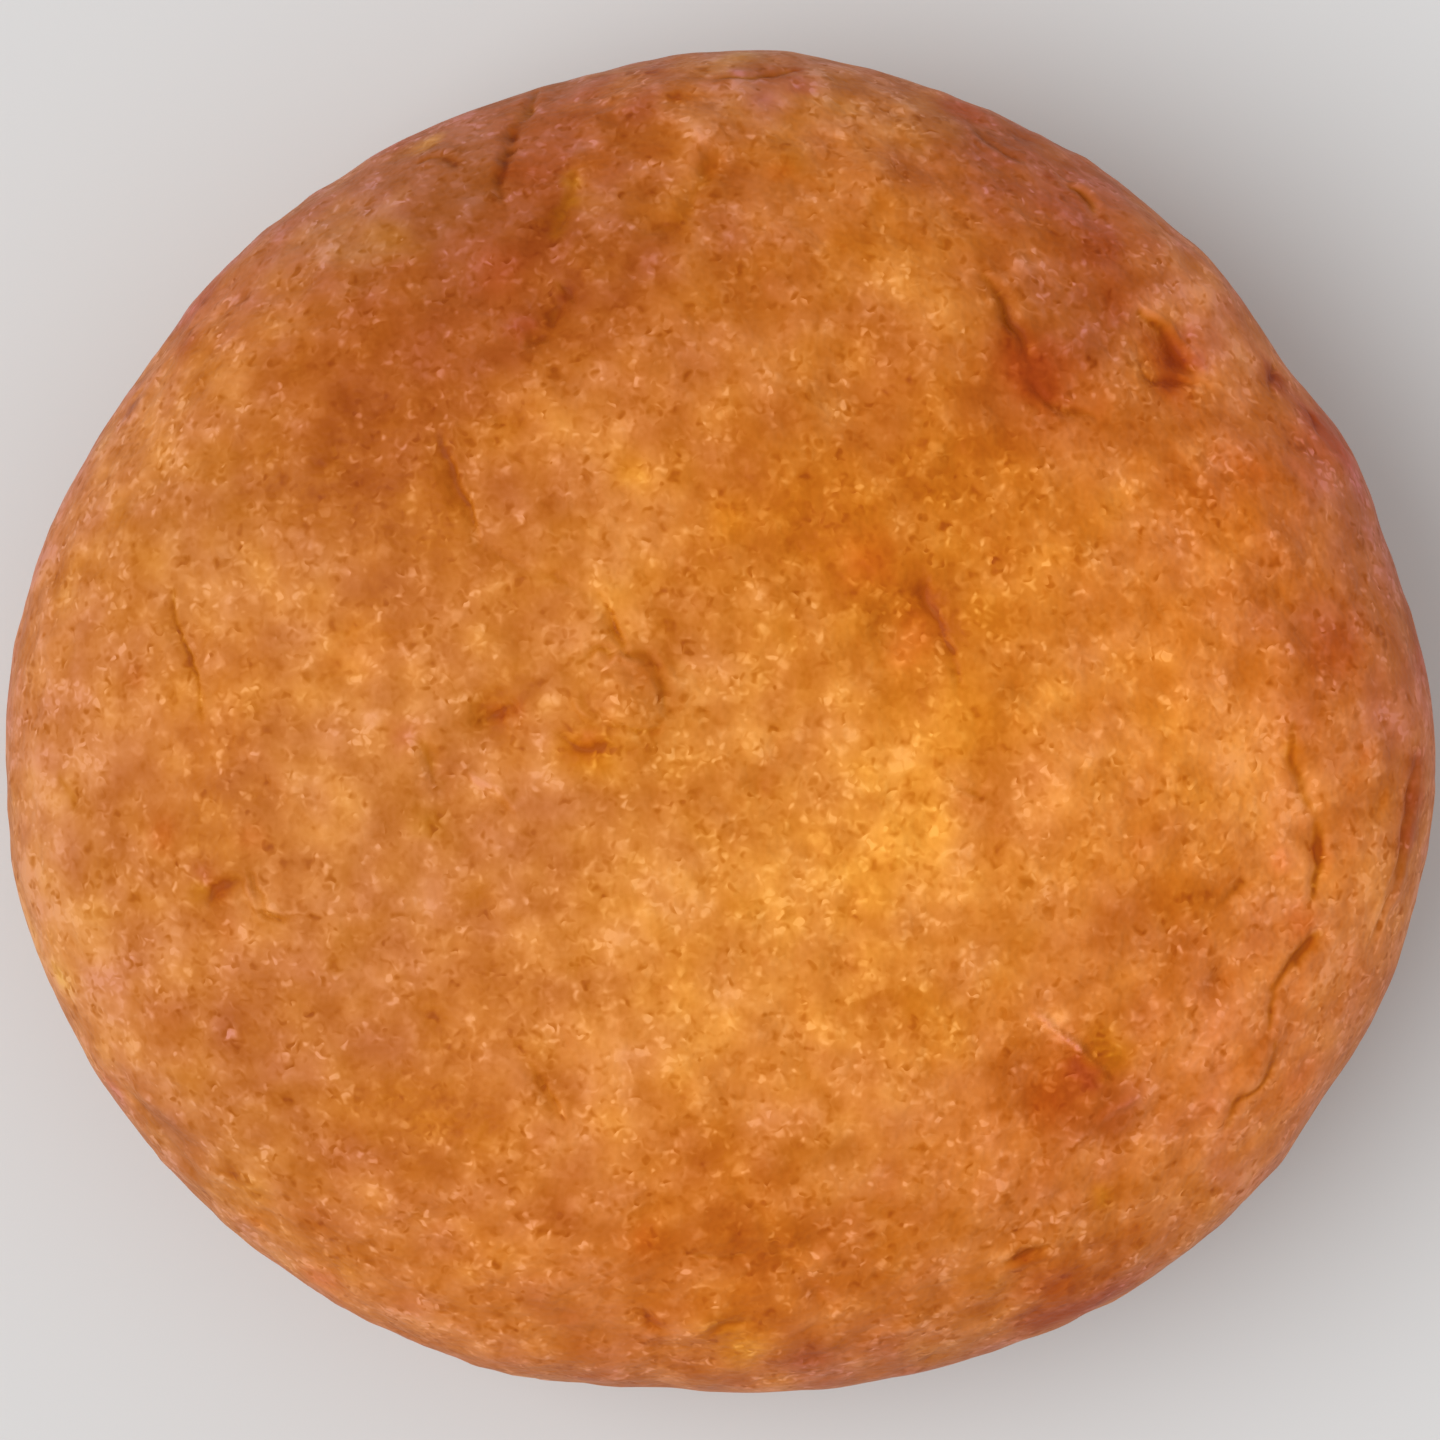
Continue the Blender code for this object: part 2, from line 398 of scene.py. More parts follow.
@dataclass
class Swell:
    """A round bump on the crust, or a dent where its rise is below zero.

    Attributes:
        middle: Its middle, on the plain skin.
        reach: How wide it is, from its middle.
        rise: How far it stands out.
    """

    middle: Vector
    reach: float
    rise: float

    def at(self, place: Vector) -> float:
        """How far the crust stands out at the place."""
        return self.rise * bell((place - self.middle).length / self.reach)


@dataclass(frozen=True)
class Grain:
    """One size of unevenness in the dough.

    Attributes:
        size: How large its lumps are.
        swing: How far they stand out.
        shift: Where its pattern starts.
    """

    size: float
    swing: float
    shift: Vector

    def at(self, place: Vector) -> float:
        """How far the crust stands out at the place."""
        return self.swing * noise.noise(place / self.size + self.shift)

    def moved(self, place: Vector) -> Vector:
        """The place moved about, so that lines drawn by it wander."""
        return place + self.swing * noise.noise_vector(place / self.size + self.shift)


class Mark(Enum):
    """A kind of small round mark in the crust: its reach and rise, lowest and highest."""

    BLISTER = ((0.8 * MM, 1.7 * MM), (0.04 * MM, 0.14 * MM))
    PIT = ((0.6 * MM, 0.9 * MM), (-0.18 * MM, -0.08 * MM))


@dataclass
class Marks:
    """Small round marks scattered evenly over the whole crust.

    Attributes:
        kind: Blisters or pits.
        count: How many there are.
        seed: The seed of their places and sizes.
        felt: How far out a mark is felt, in reaches of the widest.
        sizes: The reach and the rise of each.
        tree: The index of their places.
    """

    kind: Mark
    count: int
    seed: int
    felt: float = 2.0
    sizes: list[Span] = field(init=False, default_factory=list)
    tree: kdtree.KDTree = field(init=False)

    def scatter(self, bun: PlainBun) -> None:
        """Draw the marks' places and sizes.

        Args:
            bun: The plain bun, on whose skin they are.
        """
        draw = random.Random(self.seed)
        reaches, rises = self.kind.value
        self.tree = kdtree.KDTree(self.count)
        for index in range(self.count):
            direction = Vector([draw.gauss(0.0, 1.0) for _ in range(3)]).normalized()
            self.tree.insert(bun.skin(direction)[0], index)
            self.sizes.append((draw.uniform(*reaches), draw.uniform(*rises)))
        self.tree.balance()

    def at(self, place: Vector) -> float:
        """Read the marks.

        Args:
            place: A place of the plain skin.

        Returns:
            How far the crust stands out there.
        """
        widest = self.kind.value[0][1]
        height = 0.0
        for _, index, distance in self.tree.find_range(place, self.felt * widest):
            reach, rise = self.sizes[index]
            height += rise * bell(distance / reach)
        return height


@dataclass
class Relief:
    """Everything that stands out from the plain bun or is pressed into it.

    Attributes:
        bun: The plain bun.
        lumps: Uneven rising of the dough.
        ripples: Finer unevenness of the crust.
        lumps_left_at_waist: What share of the lumps the waist has.
        lumps_left_below: What share of the lumps the underside has.
        fine_lost_at_waist: What share of the finer relief the waist lacks.
        wander: How the furrows wander off their curves.
        broken: How uneven the furrows' browning and painted shade are.
        waist_band: How far up and down the waist reaches, as a rise of the direction.
        below_band: Where the underside sets in, and where it is reached, likewise.
        top_creases: Corners, depth, width, shade, lean and taper of the furrows, seen
            from above, in mm.
        top_swells: Place, reach and rise, seen from above, in mm.
        side_creases: How many furrows the side and the underside have.
        side_place_in_share: Where in its share of the round one can be.
        side_tilt: How far over the waist one can be, in degrees.
        side_span: How long one can be, in degrees.
        side_slope: How steeply one can run, beside its length.
        side_bow: How far one can bow up or down, beside its length.
        side_depth: How deep one can be, in mm.
        side_width: How wide one is, in mm.
        side_seed: The seed of these furrows.
        blisters: Small blisters.
        pits: Small pits.
        furrows: The furrows, laid on the bun.
        bumps: The bumps and dents, laid on the bun.
    """

    bun: PlainBun
    lumps: tuple[Grain, ...] = (
        Grain(17.0 * MM, 0.75 * MM, Vector((3.1, 7.4, 1.9))),
        Grain(8.0 * MM, 0.34 * MM, Vector((11.7, 2.3, 5.5))),
    )
    ripples: tuple[Grain, ...] = (
        Grain(4.1 * MM, 0.18 * MM, Vector((5.3, 9.1, 2.7))),
        Grain(2.2 * MM, 0.10 * MM, Vector((1.9, 4.6, 8.2))),
    )
    lumps_left_at_waist: float = 0.3
    lumps_left_below: float = 0.5
    fine_lost_at_waist: float = 0.5
    wander: Grain = Grain(1.6 * MM, 0.35 * MM, Vector((6.6, 2.9, 0.7)))
    broken: Grain = Grain(1.2 * MM, 0.8, Vector((0.4, 5.1, 3.3)))
    waist_band: float = 0.25
    below_band: Span = (0.1, -0.4)
    top_creases: Rows = (
        (((-20.6, 20.8), (-19.9, 18.6), (-18.9, 16.4), (-17.8, 13.0)), 0.4, 0.5, 2.2, 1, 0.5),
        (((-17.8, 13.0), (-16.0, 12.0), (-13.0, 10.8), (-9.0, 9.3)), 0.2, 0.5, 0.3),
        (((-8.9, 9.2), (-8.2, 8.0), (-7.7, 6.8), (-6.9, 5.2)), 0.3, 0.35, 2.0, 1),
        (((-9.9, 4.6), (-9.1, 5.4), (-8.2, 5.0), (-7.8, 4.5)), 0.25, 0.35, 1.2),
        (((-6.6, 4.8), (-5.8, 4.8), (-4.6, 3.6), (-4.1, 1.4)), 0.2, 0.4, 1.2),
        (((-8.4, 3.9), (-7.2, 4.4), (-6.1, 4.2)), -0.2, 0.25, -0.5),
        (((-10.4, 2.2), (-10.3, 1.0), (-9.4, 0.0), (-8.6, -0.6)), -0.2, 0.35, -0.6),
        (((-8.0, -0.6), (-6.6, -0.7), (-5.0, -0.8), (-4.2, -0.5)), 0.3, 0.3, 1.5),
        (((-12.2, -1.0), (-10.8, -1.9), (-9.5, -2.2), (-8.2, -1.9)), 0.22, 0.4, 1.6),
        (((-18.4, 0.0), (-17.2, 0.1), (-16.2, 0.5), (-15.4, 1.0)), 0.15, 0.35, 1.2),
        (((-22.6, -0.7), (-21.9, -2.0), (-21.1, -3.6), (-20.4, -4.8)), 0.3, 0.6, 0.8),
        (((-19.3, -3.4), (-17.6, -4.6), (-16.0, -5.4), (-15.2, -6.6)), -0.25, 0.4, -0.6),
        (((-40.6, 9.5), (-40.4, 6.8), (-39.2, 4.3), (-38.2, 0.2)), 0.3, 0.45, 2.0, 1, 0.3),
        (((-13.6, 46.2), (-14.0, 45.4), (-14.3, 44.8)), 0.3, 0.4, 1.2),
        (((-14.0, 45.5), (-15.3, 43.5), (-15.6, 42.0)), 0.3, 0.8, 0.8),
        (((-15.4, 43.6), (-15.8, 42.0), (-16.1, 40.4), (-16.4, 38.6)), 0.35, 0.4, 2.0),
        (((-10.9, 40.5), (-10.9, 39.2), (-11.8, 37.4), (-12.1, 36.3)), 0.2, 0.5, 0.9),
        (((-11.9, 32.3), (-11.3, 31.8), (-10.9, 31.2)), 0.2, 0.35, 1.6),
        (((-12.2, 30.7), (-12.4, 30.2), (-12.6, 29.6)), 0.25, 0.5, 1.8),
        (((-13.0, 28.7), (-13.5, 28.2), (-14.4, 27.6)), 0.2, 0.4, 1.4),
        (((-5.5, 36.0), (-3.0, 36.8), (-2.2, 38.0), (-0.9, 41.5)), 0.3, 0.6, 0.6),
        (((15.3, 10.2), (15.5, 8.6), (16.5, 6.9), (17.4, 4.4), (18.0, 2.0)), 0.25, 0.35, 2.5, 1, 0.4),
        (((16.8, -4.6), (18.6, -5.2), (20.2, -5.6)), 0.15, 0.3, 0.7),
        (((19.5, 32.6), (20.8, 31.1), (21.4, 29.6), (22.4, 28.3), (22.7, 27.0)), 0.3, 0.5, 1.8),
        (((23.2, 24.9), (24.4, 23.7), (26.0, 22.9), (27.8, 22.6)), 0.3, 0.4, 1.2),
        (((31.0, 30.1), (32.2, 29.3), (33.4, 28.4), (35.0, 26.2)), 0.5, 0.4, 2.4, 1, -0.5),
        (((31.2, 25.3), (32.8, 25.2), (34.5, 25.1), (35.8, 24.8)), 0.3, 0.35, 1.6),
        (((42.3, -0.5), (42.5, -3.0), (43.4, -5.2), (44.3, -7.2)), 0.15, 0.5, 1.2, 0, -0.3),
        (((44.4, -8.0), (44.5, -9.8), (44.2, -11.6), (43.8, -13.2)), 0.25, 0.6, 2.6, 0, 0.2),
        (((44.2, -15.9), (43.1, -17.3), (42.1, -18.4), (40.9, -19.8)), 0.25, 0.6, 2.6, 0, 0.3),
        (((41.0, -20.2), (40.6, -21.4), (40.4, -22.8)), 0.1, 0.4, 1.2),
        (((40.8, -23.8), (40.1, -26.2), (37.9, -28.2), (37.4, -29.8)), 0.12, 0.45, 2.0),
        (((37.2, -13.4), (38.0, -12.8), (38.9, -12.0)), 0.15, 0.4, 1.2),
        (((51.0, -3.0), (50.4, -8.0), (48.4, -16.0)), 0.35, 0.5, 0.5),
        (((-14.0, -25.5), (-12.3, -28.3), (-11.5, -29.8)), 0.3, 0.4, 1.8, 1, 0.3),
        (((1.5, -34.5), (3.5, -37.5), (6.0, -41.0), (8.0, -43.4)), 0.2, 0.6, 0.4),
        (((21.0, -40.0), (22.5, -39.4), (24.0, -38.7)), 0.35, 0.45, 1.6),
        (((23.4, -21.6), (25.2, -23.2), (26.6, -24.4), (28.6, -26.4)), -0.45, 0.3, -1.5),
        (((28.4, -29.4), (29.4, -28.6), (30.8, -27.9)), -0.25, 0.35, -0.7),
        (((-37.6, -13.1), (-36.7, -12.3), (-35.6, -11.6)), 0.3, 0.5, 1.8),
        (((-34.5, -11.2), (-34.2, -12.4), (-33.6, -13.4)), 0.25, 0.3, 1.3),
        (((-33.9, -13.9), (-32.9, -14.4), (-31.9, -14.8)), 0.25, 0.3, 1.2),
        (((-34.9, -11.9), (-34.6, -13.3), (-33.6, -14.7)), -0.2, 0.3, -0.6),
        (((-33.6, -13.4), (-32.2, -14.0), (-31.0, -14.1)), -0.2, 0.25, -0.6),
        (((-49.0, -3.8), (-48.4, -5.5), (-48.0, -6.8)), 0.15, 0.5, 0.8),
        (((-22.2, 41.2), (-20.5, 41.6), (-19.4, 41.0)), 0.2, 0.4, 1.3),
        (((0.0, 47.1), (2.5, 47.3), (5.5, 47.5)), 0.2, 0.4, 1.2),
        (((-0.1, 42.0), (-0.8, 41.2), (-1.0, 39.8)), 0.2, 0.5, 1.0),
        (((18.9, 44.2), (19.6, 43.0), (20.6, 42.1), (22.2, 41.4)), 0.2, 0.5, 1.0),
        (((25.8, 39.4), (26.8, 38.8), (27.6, 37.4)), 0.3, 0.45, 1.5),
        (((32.2, 36.6), (33.0, 35.6)), 0.2, 0.4, 1.2),
        (((41.0, 26.3), (40.9, 25.3), (40.8, 24.3)), 0.2, 0.45, 1.4),
        (((43.6, 22.9), (44.2, 21.2)), 0.2, 0.35, 1.2),
        (((-2.2, -39.3), (0.0, -39.6), (2.2, -39.5)), 0.15, 0.35, 1.0),
        (((-5.6, -43.8), (-5.0, -44.6), (-4.2, -44.9)), 0.25, 0.5, 1.4),
        (((-0.8, -45.0), (0.2, -44.5), (2.2, -44.2)), 0.2, 0.5, 1.0),
    )
    top_swells: Rows = (
        (-7.0, 1.5, 2.9, 1.2),
        (10.4, 24.6, 3.2, -0.9),
        (33.4, 26.6, 3.2, -0.9),
        (14.2, 6.5, 2.8, -0.6),
        (25.0, -26.3, 2.8, -0.7),
        (-12.6, 30.6, 3.2, -0.8),
        (-16.8, 0.4, 2.4, -0.8),
        (-20.5, -6.2, 3.6, -0.5),
        (-1.5, 43.0, 2.0, 0.6),
        (11.6, 40.3, 2.2, 0.6),
        (-2.2, -44.3, 2.4, 0.6),
        (26.4, -5.2, 3.6, 0.6),
    )
    side_creases: int = 9
    side_place_in_share: Span = (0.2, 0.8)
    side_tilt: Span = (-42.0, -6.0)
    side_span: Span = (5.0, 12.0)
    side_slope: float = 1.0
    side_bow: float = 0.3
    side_depth: Span = (0.5, 0.9)
    side_width: float = 0.8
    side_seed: int = 5
    blisters: Marks = field(default_factory=lambda: Marks(Mark.BLISTER, 2600, 11))
    pits: Marks = field(default_factory=lambda: Marks(Mark.PIT, 1500, 23))
    furrows: list[Furrow] = field(init=False, default_factory=list)
    bumps: list[Swell] = field(init=False, default_factory=list)

    def __post_init__(self) -> None:
        """Lay the furrows, the bumps and the small marks on the bun."""
        for corners, depth, width, *look in self.top_creases:
            places = [self.bun.on_top(x, y) for x, y in corners]
            self.furrows.append(Furrow(places, depth * MM, width * MM, *look))
        self.lay_side_creases()
        for x, y, reach, rise in self.top_swells:
            self.bumps.append(Swell(self.bun.on_top(x, y), reach * MM, rise * MM))
        self.blisters.scatter(self.bun)
        self.pits.scatter(self.bun)

    def lay_side_creases(self) -> None:
        """Short furrows of the side and underside, one in each share of the round."""
        draw = random.Random(self.side_seed)
        for index in range(self.side_creases):
            share = index + draw.uniform(*self.side_place_in_share)
            turn = share * 360.0 / self.side_creases
            tilt = draw.uniform(*self.side_tilt)
            span = draw.uniform(*self.side_span)
            steep = draw.uniform(-self.side_slope, self.side_slope) * span
            bow = draw.uniform(-self.side_bow, self.side_bow) * span
            corners = [
                self.bun.on_side(turn - span / 2.0, tilt - steep),
                self.bun.on_side(turn, tilt + bow),
                self.bun.on_side(turn + span / 2.0, tilt + steep),
            ]
            depth = draw.uniform(*self.side_depth)
            self.furrows.append(Furrow(corners, depth * MM, self.side_width * MM))

    def near_furrow(self, place: Vector, reach: float) -> bool:
        """Whether a furrow is within reach of the place."""
        return any(furrow.distance(place) < reach for furrow in self.furrows)

    def at(self, direction: Vector, place: Vector) -> tuple[float, float, float]:
        """Read the relief.

        Args:
            direction: The direction from the middle of the bun.
            place: The place of the plain skin in that direction.

        Returns:
            How far the crust stands out, how far of that is fine relief, and how
            much darker it is painted for lying in a furrow: browning with painted shade,
            or a painted highlight on a ridge.
        """
        waist = bell(direction.z / self.waist_band)
        calm = 1.0 - (1.0 - self.lumps_left_at_waist) * waist
        below = smooth_step(*self.below_band, direction.z)
        calm *= 1.0 - (1.0 - self.lumps_left_below) * below
        height = calm * sum(grain.at(place) for grain in self.lumps)
        shade = 0.0
        wandered = self.wander.moved(place)
        for furrow in self.furrows:
            rise, browner = furrow.at(wandered)
            height += rise
            shade += browner
        if shade:
            shade *= 1.0 + self.broken.at(place)
        height += sum(bump.at(place) for bump in self.bumps)
        fine = sum(grain.at(place) for grain in self.ripples)
        fine += self.blisters.at(place) + self.pits.at(place)
        fine *= 1.0 - self.fine_lost_at_waist * waist
        return height + fine, fine, shade


@dataclass(frozen=True)
class Patch:
    """A soft patch of the crust that differs from the rest.

    Attributes:
        x: Where it is, seen from above, in mm.
        y: Where it is, seen from above, in mm.
        reach: How wide it is from its middle, in mm.
        brown: How much browner it is, below zero where it is paler.
        golden: How much more golden it is, below zero where it is rosier.
        rusty: How much rustier it is, below zero where it is more like straw.
    """

    x: float
    y: float
    reach: float
    brown: float
    golden: float = 0.0
    rusty: float = 0.0

    def look(self) -> Vector:
        """How much browner, more golden and rustier it is, in that order."""
        return Vector((self.brown, self.golden, self.rusty))


@dataclass
class Browning:
    """How far each place of the crust is fried.

    A row of patches or spots has the values of a Patch, in that order.

    Attributes:
        bun: The plain bun.
        zones: The broad zones of its top.
        rim: The patches of its rim, which is less golden: partly its own colour, partly painted sheen
            of the grazing rim, and paler at the left as painted light from the left.
        browned: The patches that are well fried.
        pale: The patches that are hardly fried.
        spots: Small spots; those on the furrows add painted shade to them as well as browning.
        waist: How much browner, more golden and rustier the waist is: paler and rosier, partly its
            own paler band, partly painted sheen of the grazing rim.
        waist_up: How far over the waist that is strongest.
        waist_reach: How far from there it reaches.
        ragged: Unevenness of the patches' edges.
        nibbled: Unevenness of the spots' edges.
        drift: Unevenness of the brown, golden and rusty look below the waist.
        drift_band: Where over the waist that sets in, and where it is reached.
        out_of_reach: How many reaches away a patch or a spot is no longer felt.
        laid_patches: The middle, the reach and the look of each patch.
        laid_spots: The middle, the reach and the look of each spot.
    """

    bun: PlainBun
    zones: Rows = (
        (9, -8, 19, -0.15, 1),
        (19, 14, 13, 0.4, 0.9),
        (-16, 36, 14, 0.5, -1.1),
        (-28, 20, 11, 0.4, -0.5),
        (22, 32, 11, 0.25, -0.45),
        (44, -12, 12, -0.4, 0.4),
        (34, -2, 9, 0, 0.6),
        (-36, -20, 14, 0, -0.5),
        (-17, -6, 9, 0, -0.6),
        (-22, -36, 9, 0, -0.4),
        (-2, -24, 4, 0, 0.9),
        (13, -7, 5, 0, 0.6),
        (-22, 40, 6, -0.1, 0, -0.9),
        (-50, -10, 14, -0.1, 0, -0.5),
        (-26, -6, 22, 0, 0, -0.45),
        (-38, -32, 12, 0, 0, -0.6),
        (42, 8, 22, 0, 0, 0.8),
        (40, -26, 16, 0, 0, 0.8),
        (2, -42, 14, 0, 0, 0.4),
        (-42, 16, 16, 0, 0, -0.6),
        (27, 37, 7, -0.2, -0.5),
        (-25, 38, 5, -0.1, 0.2, -0.7),
        (-12, 38, 10, 0, -0.3, -0.7),
        (16, 44, 6, 0, 0, -0.7),
        (24.5, 27.5, 4.5, -0.3, -0.5, -0.5),
        (42, 17, 5, 0, -0.7),
        (46, 5, 5, 0, -0.6),
        (-46, -9, 4, 0.1, -0.3),
        (6, 16, 7, 0.25, 0, 0.2),
        (8, -40.5, 3, 0.4, -0.4),
        (36, -14, 4.5, 0.5),
        (-13, -6, 4, -0.3),
        (40, -31, 8, -0.25),
        (27.5, -27.5, 3.2, 0, -1.4, -0.3),
        (-47, -10, 4, -0.3),
        (-46, -26, 8, -0.2, 0.3),
        (43, 16, 7, -0.25),
        (14, 17, 5, 0.25),
        (12, 33, 4, 0.25, 0.2),
        (6, 40, 4, 0.25),
        (-36, 26.5, 3, 0.35),
        (-27, -29.5, 4, 0.25),
        (-35, -3, 4.5, 0.25),
        (-38, 1, 8, 0, 0, 0.35),
        (38, 17, 5, 0, 0, 0.35),
        (20, -27, 6, 0, 0, 0.25),
        (-12.5, 37, 2.5, -0.3),
        (29.5, -27.5, 2.5, -0.35),
        (21, -24, 2, -0.35),
        (45.5, 6, 3, -0.35),
        (35.5, -16, 5, 0, -0.6),
        (24, 26, 4, 0, -0.5),
        (-7, 32, 3, 0, -0.6),
        (2, -5, 3, 0, -0.6),
        (-37.5, -23, 3, 0, -0.5),
        (4.5, -35, 3, 0, -0.5),
        (-12, -35, 3, 0, -0.4),
        (29, 1, 3, 0, -0.6),
        (-26, 5, 3, 0, 0.7),
        (-6, 20, 3, 0, 0.5),
        (12, -10, 4, 0, 0.5),
        (-25, 36, 3.5, 0, 0.5),
        (-26, 5.5, 3.5, 0.25, 0, 0.35),
        (25, 27, 4, -0.1, 0, -0.4),
        (20, -33.5, 5, 0, 0, 0.3),
        (8, -32, 3, 0, 0, -0.3),
        (-24, 34, 3, 0.25),
        (-5.5, 32.5, 2.2, -0.35),
        (31, 25, 5, -0.2),
        (42.5, 20, 5, -0.2),
        (-26, -12, 4, -0.25),
        (14, 10, 2.5, 0, -0.6),
        (18, 28, 2.5, 0, 0.4),
        (-22, 27, 4, 0, -0.4),
        (-13, 18, 3, 0, -0.5),
        (19, -5, 3, 0, -0.5),
        (-29, -33, 3, 0, -0.4),
    )
    rim: Rows = (
        # Rosier patches stand partly for painted sheen at the grazing rim; paler ones at the left for
        # painted light falling from the left.
        (-15, 44, 10, 0, -1.2),
        (-28, 38, 9, -0.4, -0.9, -1),
        (-12, 47, 7, 0, 0, -1.2),
        (3, 48, 7, -0.3, -1, -1),
        (22, 42, 9, 0.2, -1.4),
        (36, 34, 6, 0, -0.6),
        (46, 24, 7, -0.2, -0.9),
        (49, 12, 7, 0, -1.1, -0.6),
        (51, 0, 5, -0.2, -0.6),
        (38, -30, 8, -0.3, 0.1),
        (27, -42, 5, 0.4, -0.2),
        (10, -48, 6, 0.2, -0.5),
        (-10, -47, 7, 0.3, -0.5),
        (-43, -27, 8, -0.1, -0.5),
        (-49, -15, 9, -0.6, 0.2, -0.1),
        (-50, 0, 9, -0.3, -0.7),
        (-47, 18, 9, -0.6, -0.5),
        (-38, 31, 7, 0, -0.5),
    )
    browned: Rows = (
        (-26, 22, 7, 0.6, -0.1),
        (-12, 32.5, 5, 0.9),
        (-8, 41, 4.5, 0.6, 0.2),
        (24.5, 24.5, 5.5, 0.8, -0.4, 0.5),
        (34, 25.5, 3, 0.7, 0.3, 0.6),
        (16, 36, 4, 0.4, 0.5),
        (20, 17, 4, 0.5, 0.3),
        (14.5, 7, 3.5, 0.8),
        (17, 0.5, 2.5, 0.6, 0.8),
        (4, 13.5, 5, 0.7, 0.3),
        (38.5, 15, 4, 0.5, 0.7),
        (46, 4, 3, 0.4),
        (33.5, -13, 4, 0.6, 0.2),
        (25.5, -26.5, 4.2, 1.2, 0.2, 0.5),
        (15, -23.5, 3.5, 0.4, 0.6),
        (22.5, -41, 5, 0.6),
        (1, -37.5, 8, 1, 0.4),
        (1, -45, 3, 0.1, 0.7),
        (-21, -29, 5, 0.9, 0.7),
        (-34, -23, 4, 0.6),
        (-36, -12, 4, 0.4),
        (-45, -11, 4.5, 0.6, 0.2),
        (-38.5, 3.5, 4.5, 0.4, 0.1),
        (-9.5, -2, 3.5, 0.6, 0.5),
        (-17, 0.5, 3, 0.6, 0.1),
        (-19, 14, 6, 0.5, 0.2),
    )
    pale: Rows = (
        (-6, 13, 4, -0.6, 0.4),
        (-12, 21.5, 4, -0.3, 0.7),
        (-12, 14.5, 3, -0.4),
        (-4, -17.5, 5, -0.5, 0.1),
        (3, -13, 4, -0.4, 0.1),
        (4, -25, 4, -0.5),
        (-6, -27, 3.5, -0.4, -0.2),
        (11, -31, 4.5, -0.5, 0.1),
        (17, -15.5, 4, -0.4),
        (9, 1, 4.5, -0.4, -0.1),
        (15, -5.5, 4.5, -0.4, 0.2),
        (26, -5, 3.5, -0.5, 0.1),
        (38, -3.5, 5, -0.6, 0.4),
        (46.5, -14.5, 3, -0.5),
        (31, 3.5, 4.5, -0.4, 0.5),
        (26, 15.5, 4, -0.5, 0.3),
        (34.5, 30.5, 4, -0.7, -0.2),
        (14.5, 32.5, 3, -0.3, 0.3),
        (6, 45, 5, -0.4, 0.2),
        (-37, 24, 3.5, -0.6),
        (-33, 7, 4, -0.4, 0.2),
        (-24.5, 1, 4, -0.3, 0.3),
        (-28, -7, 4.5, -0.4, 0.3),
        (-34.5, -18, 3, -0.5),
        (-16, -39, 5, -0.3, 0.3),
    )
